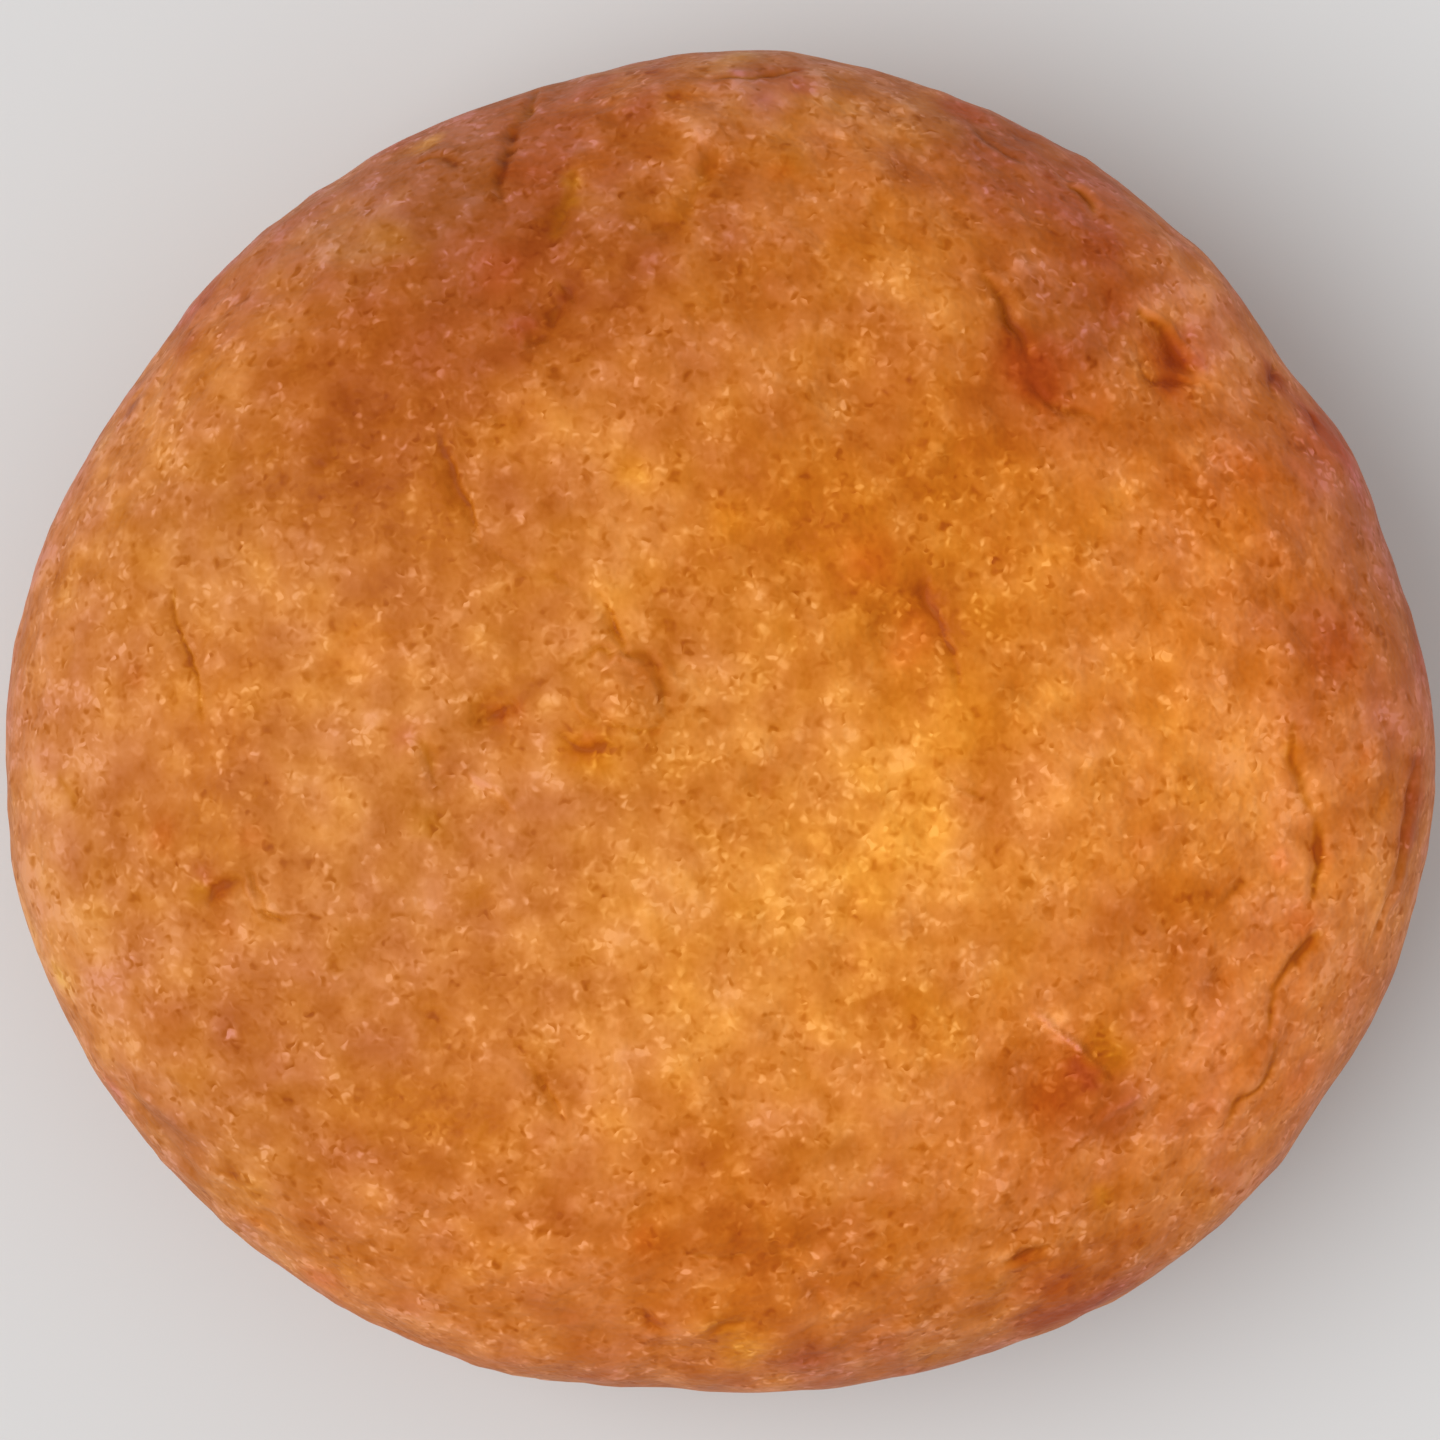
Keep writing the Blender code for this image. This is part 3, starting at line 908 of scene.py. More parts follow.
    spots: Rows = (
        # The browner spots on and beside the furrows deepen their painted shade along with their
        # browning.
        # The pocket at the upper right and the torn furrow beside it
        (33.8, 27, 1.3, 1.5, -1.2, 1.6),
        (32, 28.2, 1.4, 0.7, -0.4, 0.6),
        (33.5, 25, 1.4, 1, -1.4, 0.8),
        (22.3, 26.3, 1.9, 0.7, -0.3, 1.2),
        (23.8, 24.8, 1.5, 0.8, -0.2, 1.2),
        (22, 28.6, 0.9, 0.9, 0.2, 0.4),
        (24.8, 26.5, 2.4, 0.3, 0, 0.8),
        (27, 34, 1.5, 0.5, -0.8),
        (29, 30.5, 2.2, 0.4, -0.7, 0.3),
        (36.6, 27.8, 1.6, -0.6, -0.3),
        (35.4, 26.4, 1, -0.3, -1.2),
        (34.5, 28.6, 1, -0.3, -1.2),
        (38, 24, 1.5, -0.4, -0.3),
        # The ridge at the lower right
        (25, -27.3, 2.4, 0.6, -0.2, 0.2),
        (24.4, -28.7, 1.4, 0.5, 0, 0.5),
        (28, -24, 1.5, 1.2, 1.5, -0.6),
        (29.2, -25.2, 1.2, 1, 1.6, -0.6),
        (26.6, -25.8, 0.8, 0.1, -1.8, 1.4),
        (27.6, -26.7, 0.7, 0.1, -1.4, 1),
        (24.7, -22.1, 0.9, -1.3, 0.3),
        # The long furrow at the right and the rim beside it
        (44.4, -9.8, 0.7, 1.6, 0, 0.9),
        (43, -15, 1.2, 0.4, 0, 0.8),
        (43.7, -16.6, 0.7, 1.4, 1, 0.2),
        (50.9, -5.8, 1.6, 0.9, -1.3, 0.5),
        (50.6, -8.6, 1.3, 0.7, -1, 0.6),
        (51, -3.2, 1.3, 0.6, -1, 0.4),
        (41.5, -10.5, 0.9, 0.4, 0.2, 1),
        # The knot
        (-9.6, -2.2, 1.3, 1, 0.6, 0.4),
        (-11, -1.6, 1.3, 0.6, 0.6, 0.2),
        (-9.7, -1.2, 0.55, -1.5, -1.2, 0.8),
        (-9, -3, 1.8, 0.4, 0.8),
        (-5.4, 3.4, 1.3, 0.5, 0, 0.3),
        (-7.6, 1.2, 1.6, -0.3, -0.2, 0.2),
        (-12.6, 1.4, 0.7, -1, 0.2),
        (-7.8, 6.8, 0.6, 0.5, 0.3),
        (-5, -0.8, 0.5, 0.8, 0.2, 0.3),
        (-2.7, 3, 1, -0.6),
        (-2.3, -2.3, 0.8, -0.9, 0.1),
        # The pucker left of the knot
        (-16.4, 0.5, 0.8, 1, 0, 0.8),
        (-14.9, 1, 0.6, 0.6, -0.4, 0.6),
        (-14.6, -0.7, 0.9, 0.5, 0.3, 0.2),
        (-26, 0.2, 0.9, -0.9, -0.5),
        (-23.3, -1.2, 1.2, -0.3, -0.9, 0.6),
        (-20.6, -4, 1.2, 0.4),
        (-21.5, -7.5, 1.2, 0.5, 0.5, -0.3),
        (-18.3, -6.6, 1.5, 0.2, 0.3),
        (-17.5, -4.7, 1, -0.6, -0.3),
        (-15, -6.5, 0.8, -0.7, -0.2),
        # The furrow and the pit at the left
        (-41, 7.2, 1.1, 0.4, 0.4),
        (-39.2, 5.4, 0.5, -0.9, -0.3),
        (-43.3, 3, 1, 0.4, 0, 0.4),
        (-36.8, -12.4, 0.9, 1.2, 0.2, 0.8),
        (-38.4, -12.8, 0.9, 0.3, 0.9, -0.3),
        (-38, -11.4, 0.9, 0.1, -0.9, 0.4),
        (-36.5, -15.5, 1.2, 0.4, 0, 0.3),
        (-41.3, -8.4, 1.3, 0.4, -0.3, 0.8),
        (-34.5, -8.7, 1.1, 0.3, 0, 0.6),
        # The furrow right of the middle
        (15.1, 9.2, 1, 0.9, 0.7, 0.2),
        (14.6, 6.4, 1.8, 0.4, -0.2, 0.9),
        (14, 7.8, 0.4, 0.8, 0.3),
        (13.3, 4.5, 1.2, 0, -0.2, 0.8),
        (11, 11.7, 2, 0.3, 0.2, 1),
        # The furrow at the top left and the crumbs under it
        (-19.5, 41.7, 1, 0.7, -0.8),
        (-18.5, 40, 2.2, 0.1, -0.9, -1),
        (-16, 40.6, 1.1, 0.7, -2, 0.4),
        (-15.1, 43.4, 1.2, 0.3, -1.8, 0.2),
        (-14, 40.5, 2, 0.1, -0.9, 0.6),
        (-10.4, 42.6, 0.7, -1, 0, -0.4),
        (-11.1, 40, 0.9, 0, 1.9, -0.4),
        (-11.2, 38.5, 0.6, 0.7, 2.2, -0.6),
        (-11.7, 37.5, 0.6, 1.1, 2.2, -0.4),
        (-12, 36.3, 0.6, 1, 2.2, -0.4),
        (-10.4, 33, 0.9, 0.6, 0.2, 0.2),
        (-11.8, 34.7, 0.6, -0.9, 0, 0.2),
        (-12, 37, 0.8, 1, 1.5),
        (-13.3, 36.8, 0.5, 0.8, 0.8),
        (-9.5, 37.6, 2.6, -0.7, 0.2),
        (-13.5, 37.6, 2, -0.4),
        (-9.5, 41, 1.6, 0.3, 0.6, 0.6),
        (-12.4, 30.1, 0.8, 1.4, 0.4, 0.4),
        (-11.3, 31.7, 0.6, 1.3, 0, 0.4),
        (-13.3, 28.4, 0.7, 1, 0.6),
        (-10.3, 30, 0.7, -0.7),
        (-12.1, 33, 0.8, -0.5, -0.2),
        (-16, 33, 2.2, 0.2, -0.5, 0.8),
        (-14.5, 29, 1, 0.1, -0.8, 0.8),
        (-6, 18, 1.5, 0, 1.2),
        (0.5, 15, 1.5, 0.1, 1, 0.2),
        # The upper right rim
        (45.8, 19.8, 2.6, 0.4, -1, 1.2),
        (43.8, 20.5, 3, 0.5, -0.7, 0.6),
        (41, 25.3, 1.3, 1.4, -1.6, 0.8),
        (43.9, 22.2, 1, 1.2, -1.2, 1.2),
        (39.2, 18.3, 1.2, 0.8, 0.3, 0.8),
        (51.3, 5.5, 2, 0.3, -1),
        (45.5, 5.5, 2.4, 0.5, -0.3, 0.6),
        (43.8, 4.6, 1, 0.6, 0.3, 0.4),
        (24.3, 40.3, 0.4, 1.6, -0.6, 0.8),
        (28.2, 35, 1.5, 0.5, -1.2, 0.4),
        (18, 45, 1.6, 0.2, -1.6, 1.4),
        (25.2, 42, 0.8, -0.6, 0.2),
        (27, 41, 0.6, -0.2, 0.6, 1),
        # The lower right rim
        (47.4, -2.8, 0.7, 0.8, 0.2, 0.6),
        (46.8, -4.6, 0.9, 0.7, 0.2, 0.6),
        (42.3, -2.2, 0.6, 0.5, 1),
        (42.5, -27, 2, 0.3, 0.3, 0.8),
        (22.2, -39.6, 0.8, 1, 0.2, 0.6),
        (24.8, -41.5, 2.6, 0.4, -0.3, 0.9),
        (30.5, -37.7, 1.2, 0.7, 0.2, 0.6),
        (28, -42.6, 2.6, 0.9, -1.4, 1),
        (24, -44.4, 2.4, 0.8, -1.2, 1),
        (28.2, -35.3, 0.8, 0.6, 1.4, -0.3),
        # The upper rim
        (-4.9, 47.8, 0.9, 0.9, -0.3, 0.6),
        (5.7, 47.6, 0.5, 1.4, -0.6, 0.6),
        (-1, 46.6, 0.7, -0.8, -0.3),
        (-1.5, 43.2, 0.7, -0.9, -0.2),
        (-0.6, 41, 1.2, 0.6, 0.2, 0.3),
        (-4.9, 42, 1.2, 0.5, 0, 0.3),
        (-2, 46, 1.1, 0.1, 0.6, 0.8),
        (1.5, 48.8, 1.8, -0.2, 0.6, -0.6),
        (0.2, 47, 0.7, 1.3, 0, 0.2),
        (1.4, 47.5, 0.6, -0.8, -1.2, 0.4),
        (4, 47.3, 1.4, 0.7, -0.6, 0.2),
        (5.8, 46.4, 1.2, 0.4, -1.2, 0.4),
        (-3.1, 45.8, 0.5, 1.2, 0.2, 0.2),
        (2.6, 45.6, 1.2, -0.5, -0.8),
        (-1.1, 42.5, 0.6, -1.3, 0, 0.2),
        (-2.9, 37, 1.3, 0.7, 0.6),
        (4.5, 40.6, 0.8, 0.4, 0.4, 0.8),
        (-21.3, 42.6, 1.1, -0.2, 2, -1),
        (-24, 42.2, 1.3, 0.2, -1.6, 1),
        # The left rim
        (-38.6, 30.8, 1.7, 0.2, -1.4, 0.8),
        (-43.1, 24.2, 0.6, 0.2, 1.5, 0.4),
        (-43.6, 23, 0.7, 0.3, -1, -1),
        (-39.5, 27.8, 1.4, 0.4, -0.6, 0.4),
        (-39.3, 25.7, 0.8, -0.8),
        (-41.6, 21, 1, -0.7),
        (-48.5, -18.8, 1.2, -0.3, 1.2, -0.5),
        (-40.5, -22.5, 2, 0.5, 0.2, 0.2),
        (-45, -27, 1.6, 0, -0.5, 0.4),
        (-41, -30.3, 1.8, 0.2, -0.6, -0.4),
        # The lower rim
        (-36.2, -33.6, 0.8, 0.8, -0.2, 0.2),
        (-34.4, -37.4, 1, 0.1, 0.6, 0.8),
        (-30, -36.8, 1.6, 0.5, 0, 0.2),
        (-29.6, -41.4, 1.7, -0.2, -0.6, 1),
        (-29.8, -39.4, 1.2, 0.5),
        (-25.2, -34.2, 1.3, -0.6),
        (-5.5, -38.2, 1.3, 0.6, 0.3, 0.8),
        (-5, -44.4, 0.9, 1, 0, 0.6),
        (-3.2, -44.9, 1, -0.9, -0.2),
        (-1.4, -44.3, 0.8, -1, -0.2),
        (0.3, -44.6, 1.3, 0.6, 0.8, -0.3),
        (1.8, -46.5, 2, 0.2, 0.8, -0.4),
        (5.8, -47.3, 2.4, 0.3, -1),
    )
    waist: Vector = field(default_factory=lambda: Vector((-0.25, -0.8, -0.5)))
    waist_up: float = 2.0 * MM
    waist_reach: float = 6.5 * MM
    ragged: tuple[Grain, ...] = (
        Grain(6.0 * MM, 2.4 * MM, Vector((2.2, 8.8, 4.1))),
        Grain(2.4 * MM, 1.1 * MM, Vector((9.4, 1.2, 6.6))),
    )
    nibbled: tuple[Grain, ...] = (Grain(1.1 * MM, 0.45 * MM, Vector((7.7, 0.6, 5.9))),)
    drift: tuple[Grain, ...] = (
        Grain(8.0 * MM, 1.2, Vector((4.4, 6.3, 8.1))),
        Grain(11.0 * MM, 1.2, Vector((7.2, 1.5, 3.8))),
        Grain(13.0 * MM, 1.0, Vector((0.9, 8.4, 2.6))),
    )
    drift_band: Span = (0.0, -8.0 * MM)
    out_of_reach: float = 2.5
    laid_patches: list[tuple] = field(init=False)
    laid_spots: list[tuple] = field(init=False)

    def __post_init__(self) -> None:
        """Lay the patches and the spots on the bun."""
        self.laid_patches = self.lay(self.zones + self.rim + self.browned + self.pale)
        self.laid_spots = self.lay(self.spots)

    def lay(self, rows: Rows) -> list[tuple[Vector, float, Vector]]:
        """The middle, the reach and the look of each patch of the rows, on the bun."""
        return [(self.bun.on_top(patch.x, patch.y), patch.reach * MM, patch.look())
                for patch in (Patch(*row) for row in rows)]

    def gather(self, place: Vector, ragged: tuple[Grain, ...],
               laid: list[tuple]) -> Vector:
        """Add up what patches do to a place.

        Args:
            place: The place of the plain skin.
            ragged: The unevenness of the patches' edges.
            laid: The patches, laid on the bun.

        Returns:
            How much browner, more golden and rustier the place is.
        """
        for grain in ragged:
            place = grain.moved(place)
        look = Vector()
        for middle, reach, change in laid:
            away = (place - middle).length / reach
            if away < self.out_of_reach:
                look += change * bell(away)
        return look

    def at(self, place: Vector) -> tuple[float, float, float]:
        """Read the browning.

        Args:
            place: The place of the plain skin.

        Returns:
            How much browner than the mean the crust is, and how golden and how rusty
            its hue is.
        """
        over_waist = place.z - self.bun.middle.z
        look = self.gather(place, self.ragged, self.laid_patches)
        look += self.gather(place, self.nibbled, self.laid_spots)
        # The waist band: the paler band of fried dough, with painted sheen where the rim turns away.
        look += self.waist * bell((over_waist - self.waist_up) / self.waist_reach)
        below = smooth_step(*self.drift_band, over_waist)
        look += below * Vector([grain.at(place) for grain in self.drift])
        return tuple(look)


class Socket:
    """A value in a shader, on which Python's operators add Math nodes."""

    def __init__(self, tree: "ShaderTree", socket: Any) -> None:
        """Wrap an output socket of the tree."""
        self.tree = tree
        self.socket = socket

    def math(self, operation: str, *others: Union["Socket", Number]) -> "Socket":
        """Add one Math node, with this value first."""
        inputs = dict(enumerate((self, *others)))
        return self.tree.node("ShaderNodeMath", {"operation": operation}, inputs)

    def __add__(self, other: Union["Socket", Number]) -> "Socket":
        """This value plus another."""
        return self.math("ADD", other)

    def __radd__(self, other: Number) -> "Socket":
        """A number plus this value."""
        return self.math("ADD", other)

    def __sub__(self, other: Union["Socket", Number]) -> "Socket":
        """This value less another."""
        return self.math("SUBTRACT", other)

    def __rsub__(self, other: Number) -> "Socket":
        """A number less this value."""
        inputs = {0: other, 1: self}
        return self.tree.node("ShaderNodeMath", {"operation": "SUBTRACT"}, inputs)

    def __mul__(self, other: Union["Socket", Number]) -> "Socket":
        """This value times another."""
        return self.math("MULTIPLY", other)

    def __rmul__(self, other: Number) -> "Socket":
        """A number times this value."""
        return self.math("MULTIPLY", other)

    def __abs__(self) -> "Socket":
        """This value without its sign."""
        return self.math("ABSOLUTE")

    def step(self, low: float, high: float) -> "Socket":
        """Rise smoothly from 0 to 1.

        Args:
            low: The value at which the rise begins.
            high: The value at which it ends.

        Returns:
            A share between 0 and 1.
        """
        settings = {"interpolation_type": "SMOOTHSTEP"}
        inputs = {"Value": self, "From Min": low, "From Max": high}
        return self.tree.node("ShaderNodeMapRange", settings, inputs)


@dataclass(frozen=True)
class Pattern:
    """Soft noise of a finish.

    Attributes:
        shift: Where it starts, in mm, so that no pattern repeats another.
        size: How large its lumps are, in mm.
        detail: How many finer sizes it has.
        rough: How strong each finer size is beside the one before.
    """

    shift: Triple
    size: float
    detail: float = 0.0
    rough: float = 0.5


class ShaderTree:
    """A material's nodes, added one at a time."""

    def __init__(self, name: str) -> None:
        """Start a material with a Principled shader alone.

        Args:
            name: Its name.
        """
        self.material = bpy.data.materials.new(name)
        self.material.use_nodes = True
        self.tree = self.material.node_tree
        self.shader = self.tree.nodes["Principled BSDF"]

    def node(
        self,
        kind: str,
        settings: Optional[dict[str, Any]] = None,
        inputs: Optional[dict[Union[str, int], Any]] = None,
        output: Union[str, int] = 0,
    ) -> Socket:
        """Add a node.

        Args:
            kind: Its type, as Blender names it.
            settings: Its settings, set first; "stops" are a ramp's stops.
            inputs: The values or links of its sockets, by name or place.
            output: The output socket that is wanted.

        Returns:
            That output.
        """
        made = self.tree.nodes.new(kind)
        for name, value in (settings or {}).items():
            if name == "stops":
                self.set_stops(made.color_ramp, value)
            else:
                setattr(made, name, value)
        for name, value in (inputs or {}).items():
            self.put(made.inputs[name], value)
        return Socket(self, made.outputs[output])

    def put(self, socket: Any, value: Any) -> None:
        """Link an input, or set it.

        Args:
            socket: The input.
            value: A value of the shader, or a plain value.
        """
        if isinstance(value, Socket):
            self.tree.links.new(value.socket, socket)
        else:
            socket.default_value = value

    @staticmethod
    def set_stops(ramp: Any, stops: Iterable[tuple[float, Colour]]) -> None:
        """Give a ramp its stops.

        Args:
            ramp: The ramp.
            stops: Places between 0 and 1 with their colours.
        """
        wanted = list(stops)
        while len(ramp.elements) < len(wanted):
            ramp.elements.new(1.0)
        for element, (place, colour) in zip(ramp.elements, wanted):
            element.position = place
            element.color = (*colour, 1.0)

    def attribute(self, name: str) -> Socket:
        """A value that the mesh holds for each of its points."""
        settings = {"attribute_name": name, "attribute_type": "GEOMETRY"}
        return self.node("ShaderNodeAttribute", settings, output="Fac")

    def vector(self, operation: str, inputs: dict[Union[str, int], Any]) -> Socket:
        """Add one Vector Math node."""
        return self.node("ShaderNodeVectorMath", {"operation": operation}, inputs)

    def place_in_mm(self) -> Socket:
        """The place in the object's own coordinates, in millimetres."""
        place = self.node("ShaderNodeTexCoord", output="Object")
        return self.vector("SCALE", {0: place, "Scale": 1.0 / MM})

    def moved(self, place: Socket, shift: Triple) -> Socket:
        """The place, moved, so that one pattern doesn't repeat another."""
        return self.vector("ADD", {0: place, 1: shift})

    def cloud(self, place: Socket, pattern: Pattern,
              output: Union[str, int] = 0) -> Socket:
        """Soft noise, below and above 0 alike.

        Args:
            place: Where to read it, in mm.
            pattern: The sizes of its lumps.
            output: "Color" for three values, such as to move a place by.

        Returns:
            The noise.
        """
        settings = {"noise_dimensions": "3D", "normalize": False}
        inputs = {
            "Vector": self.moved(place, pattern.shift),
            "Scale": 1.0 / pattern.size,
            "Detail": pattern.detail,
            "Roughness": pattern.rough,
        }
        return self.node("ShaderNodeTexNoise", settings, inputs, output)

    def bent(self, place: Socket, pattern: Pattern, reach: float) -> Socket:
        """The place, moved about by a pattern, by up to about the reach."""
        shift = self.cloud(place, pattern, "Color")
        return self.vector("MULTIPLY_ADD", {0: shift, 1: (reach, reach, reach), 2: place})

    def cells(self, place: Socket, size: float) -> tuple[Socket, Socket]:
        """Scattered cells.

        Args:
            place: Where the texture is read, in mm.
            size: How far apart the cells are, in mm.

        Returns:
            How far the place is from the middle of its cell, as a share of the size,
            and a number between 0 and 1 drawn for that cell.
        """
        inputs = {"Vector": place, "Scale": 1.0 / size}
        away = self.node("ShaderNodeTexVoronoi", {}, inputs, "Distance")
        return away, Socket(self, away.socket.node.outputs["Color"])

    def tinted(self, colour: Socket, tint: Socket) -> Socket:
        """A colour, multiplied by another."""
        return self.vector("MULTIPLY", {0: colour, 1: tint})

    def mix(self, share: Union[Socket, float], first: Any, second: Any) -> Socket:
        """Mix two colours: all first at a share of 0, all second at 1."""
        inputs = {0: share, 6: first, 7: second}
        return self.node("ShaderNodeMix", {"data_type": "RGBA"}, inputs, 2)


@dataclass(frozen=True)
class CrustFinish:
    """Fried crust: golden where it is thin, brown where it is well fried.

    Attributes:
        mean: Its colour where it is fried as the mean of the bun.
        fading: How fast red, green and blue fade as it browns.
        paling: How fast they rise as it gets paler.
        gold: How red, green and blue change towards a golden hue.
        rust: What red, green and blue are multiplied by where it is rusty.
        straw: What they are multiplied by where it is the colour of straw.
        rust_swing: How fast it turns from straw to rust.
        hues: How golden its most golden hue is.
        span: How much paler than the mean its brownest and palest stops are.
        stops: How many colours its ramps have.
        roughness: How dull it is.
        rough_swing: How much that changes with the mottles.
        sheen: How strongly it reflects.
        bump: How strong its finest relief is.
        bump_height: How high the grain of that relief is, in mm.
        mottles: Where it is broadly paler or browner.
        mottle: How much paler the mottles make it.
        hue_drift: Where it is more or less golden.
        hue: How much more golden that makes it.
        grains: Its fine grain.
        grain: How much paler the grain makes it.
        groups: Where its crumbs lie thick.
        group_edge: From where to where those patches set in.
        group_mean: What share of it they cover.
        cluster: How much paler they are.
        bends: What bends the crumbs and the curls out of round.
        bend: How far, in mm.
        curls: What the thin lines run along.
        line_thin: How thin they are.
        breaks: Where they break off.
        stroke_place: At which value of the curls the pale strokes run.
        stroke_breaks: From where to where they set in.
        stroke: How much paler they are.
        painted_shadow_place: At which value of the curls the painted shadows beside the pale strokes
            run.
        painted_shadow_breaks: From where to where they set in.
        painted_shadow: How much darker those painted shadows are.
        crumb_size: How far apart the crumbs are, in mm.
        crumb_edge: Where a crumb or a fleck starts and ends to fade, as a share of
            its size.
        crumb_left: What share of the crumbs is left between the patches.
        crumb: How much paler or browner a crumb is.
        speck_draw: Which of the crumbs are specks, by the number drawn.
        speck: How much paler a speck is.
        fleck_shift: Where the flecks' pattern starts, in mm.
        fleck_size: How far apart the flecks are, in mm.
        fleck: How much paler or browner a fleck is.
        pit_edge: Where a pit starts and ends to fade, as a share of a fleck's size.
        pit_draw: Which of the flecks have a pit, by the number drawn.
        pit: How much darker a pit is, as painted shade in the small hollow.
        furrow: How much darker it is in a furrow: browning with painted shade, and on a ridge a
            painted highlight.
        furrow_gold: How much more golden it is there.
        furrow_straw: How much less rusty it is there.
        crest: How much paler the crests of the fine relief are, and darker its dents: painted
            highlight and painted shade.
    """

    mean: Colour = (0.532, 0.148, 0.0242)
    fading: Colour = (0.232, 0.44, 1.74)
    paling: Colour = (0.25, 0.455, 1.06)
    gold: Colour = (0.14, 0.25, -0.18)
    rust: Colour = (1.14, 0.9, 1.0)
    straw: Colour = (0.86, 1.08, 1.0)
    rust_swing: float = 0.35
    hues: float = 1.8
    span: Span = (-2.6, 1.3)
    stops: int = 9
    roughness: float = 0.5
    rough_swing: float = 0.05
    sheen: float = 0.1
    bump: float = 0.3
    bump_height: float = 0.15
    mottles: Pattern = Pattern((31.0, 7.0, 4.0), 5.0, 1.0, 0.9)
    mottle: float = 0.6
    hue_drift: Pattern = Pattern((1.0, 17.0, 64.0), 5.0, 1.0, 0.9)
    hue: float = 0.55
    grains: Pattern = Pattern((3.0, 41.0, 9.0), 1.7, 2.0, 0.8)
    grain: float = 0.3
    groups: Pattern = Pattern((8.0, 3.0, 1.0), 3.6, 1.0, 0.9)
    group_edge: Span = (-0.45, 0.35)
    group_mean: float = 0.6
    cluster: float = 0.3
    bends: Pattern = Pattern((0.0, 0.0, 0.0), 0.7)
    bend: float = 0.5
    curls: Pattern = Pattern((9.0, 6.0, 12.0), 1.5)
    line_thin: float = 3.0
    breaks: Pattern = Pattern((4.0, 8.0, 33.0), 0.9)
    stroke_place: float = 0.0
    stroke_breaks: Span = (-0.1, 0.4)
    stroke: float = 0.6
    painted_shadow_place: float = 0.3
    painted_shadow_breaks: Span = (0.0, 0.4)
    painted_shadow: float = 0.4
    crumb_size: float = 0.75
    crumb_edge: Span = (0.15, 0.58)
    crumb_left: float = 0.3
    crumb: float = 2.95
    speck_draw: Span = (0.5, 0.62)
    speck: float = 0.3
    fleck_shift: Triple = (5.0, 2.0, 77.0)
    fleck_size: float = 1.2
    fleck: float = 1.8
    pit_edge: Span = (0.1, 0.3)
    pit_draw: Span = (0.2, 0.3)
    pit: float = 0.5
    furrow: float = 1.3
    furrow_gold: float = 0.5
    furrow_straw: float = 0.3
    crest: float = 0.3

    def shade(self, paler: float, golden: float) -> Colour:
        """The colour of a place.

        Args:
            paler: How much paler than the mean it is.
            golden: How much more golden than the mean it is.

        Returns:
            The colour.
        """
        change = self.paling if paler > 0.0 else self.fading
        parts = zip(self.mean, change, self.gold)
        return tuple(
            part * math.exp(paler * fade + golden * gold) for part, fade, gold in parts
        )

    def ramp(self, tree: ShaderTree, paler: Socket, golden: float) -> Socket:
        """Colours from brown to pale, all of one hue.

        Args:
            tree: The material's nodes.
            paler: How much paler than the mean each place is.
            golden: How golden the hue is.

        Returns:
            The colour of each place.
        """
        brownest, palest = self.span
        stops = []
        for index in range(self.stops):
            share = index / (self.stops - 1)
            here = brownest + share * (palest - brownest)
            stops.append((share, self.shade(here, golden)))
        place = (paler - brownest) * (1.0 / (palest - brownest))
        return tree.node("ShaderNodeValToRGB", {"stops": stops}, {0: place})

    def line(self, curls: Socket, value: float) -> Socket:
        """Thin soft lines where the curls pass the value."""
        return (1.0 - abs(curls - value) * self.line_thin).step(0.0, 1.0)

    def mottling(self, tree: ShaderTree, place: Socket) -> Socket:
        """The crust's strokes and the painted shadows beside them, its crumbs, flecks and pits, the
        pits darkened as painted shade.

        Args:
            tree: The material's nodes.
            place: The place in mm.

        Returns:
            How much paler they make the crust.
        """
        thick = tree.cloud(place, self.groups).step(*self.group_edge)
        bent = tree.bent(place, self.bends, self.bend)
        curls = tree.cloud(bent, self.curls)
        broken = tree.cloud(place, self.breaks)
        stroke = self.line(curls, self.stroke_place) * broken.step(*self.stroke_breaks) * thick
        # Painted shadow: a thin darker line beside the pale strokes, where a flake's edge would cast
        # its shade.
        painted_shadow = self.line(curls, self.painted_shadow_place) * broken.step(*self.painted_shadow_breaks)

        away, draw = tree.cells(bent, self.crumb_size)
        spot = 1.0 - away.step(*self.crumb_edge)
        left = thick * (1.0 - self.crumb_left) + self.crumb_left
        crumb = spot * (draw - MIDDLE) * left
        speck = spot * draw.step(*self.speck_draw) * thick

        away, draw = tree.cells(tree.moved(bent, self.fleck_shift), self.fleck_size)
        fleck = (1.0 - away.step(*self.crumb_edge)) * (draw - MIDDLE)
        # Painted shade: dark dots where small pits would hold shade.
        pit = (1.0 - away.step(*self.pit_edge)) * (1.0 - draw.step(*self.pit_draw))

        paler = (thick - self.group_mean) * self.cluster
        paler = paler + speck * self.speck + stroke * self.stroke
        paler = paler + crumb * self.crumb + fleck * self.fleck
        return paler - pit * self.pit - painted_shadow * self.painted_shadow

    def colour(self, tree: ShaderTree, paler: Socket, golden: Socket,
               rusty: Socket) -> Socket:
        """The crust's colour.

        Args:
            tree: The material's nodes.
            paler: How much paler than the mean each place is.
            golden: How much more golden than the mean it is.
            rusty: How much rustier than the mean it is.

        Returns:
            The colour of each place.
        """
        rose = self.ramp(tree, paler, -self.hues)
        gold = self.ramp(tree, paler, self.hues)
        hued = tree.mix(golden * (MIDDLE / self.hues) + MIDDLE, rose, gold)
        share = rusty * self.rust_swing + MIDDLE
        return tree.tinted(hued, tree.mix(share, (*self.straw, 1.0), (*self.rust, 1.0)))

    def material(self) -> bpy.types.Material:
        """Make the material.

        Returns:
            The material.
        """
        tree = ShaderTree("fried_crust_finish")
        place = tree.place_in_mm()
        brown, golden, rusty, furrow, crest = map(tree.attribute, POINT_VALUES)
        mottle = tree.cloud(place, self.mottles)
        grain = tree.cloud(place, self.grains)

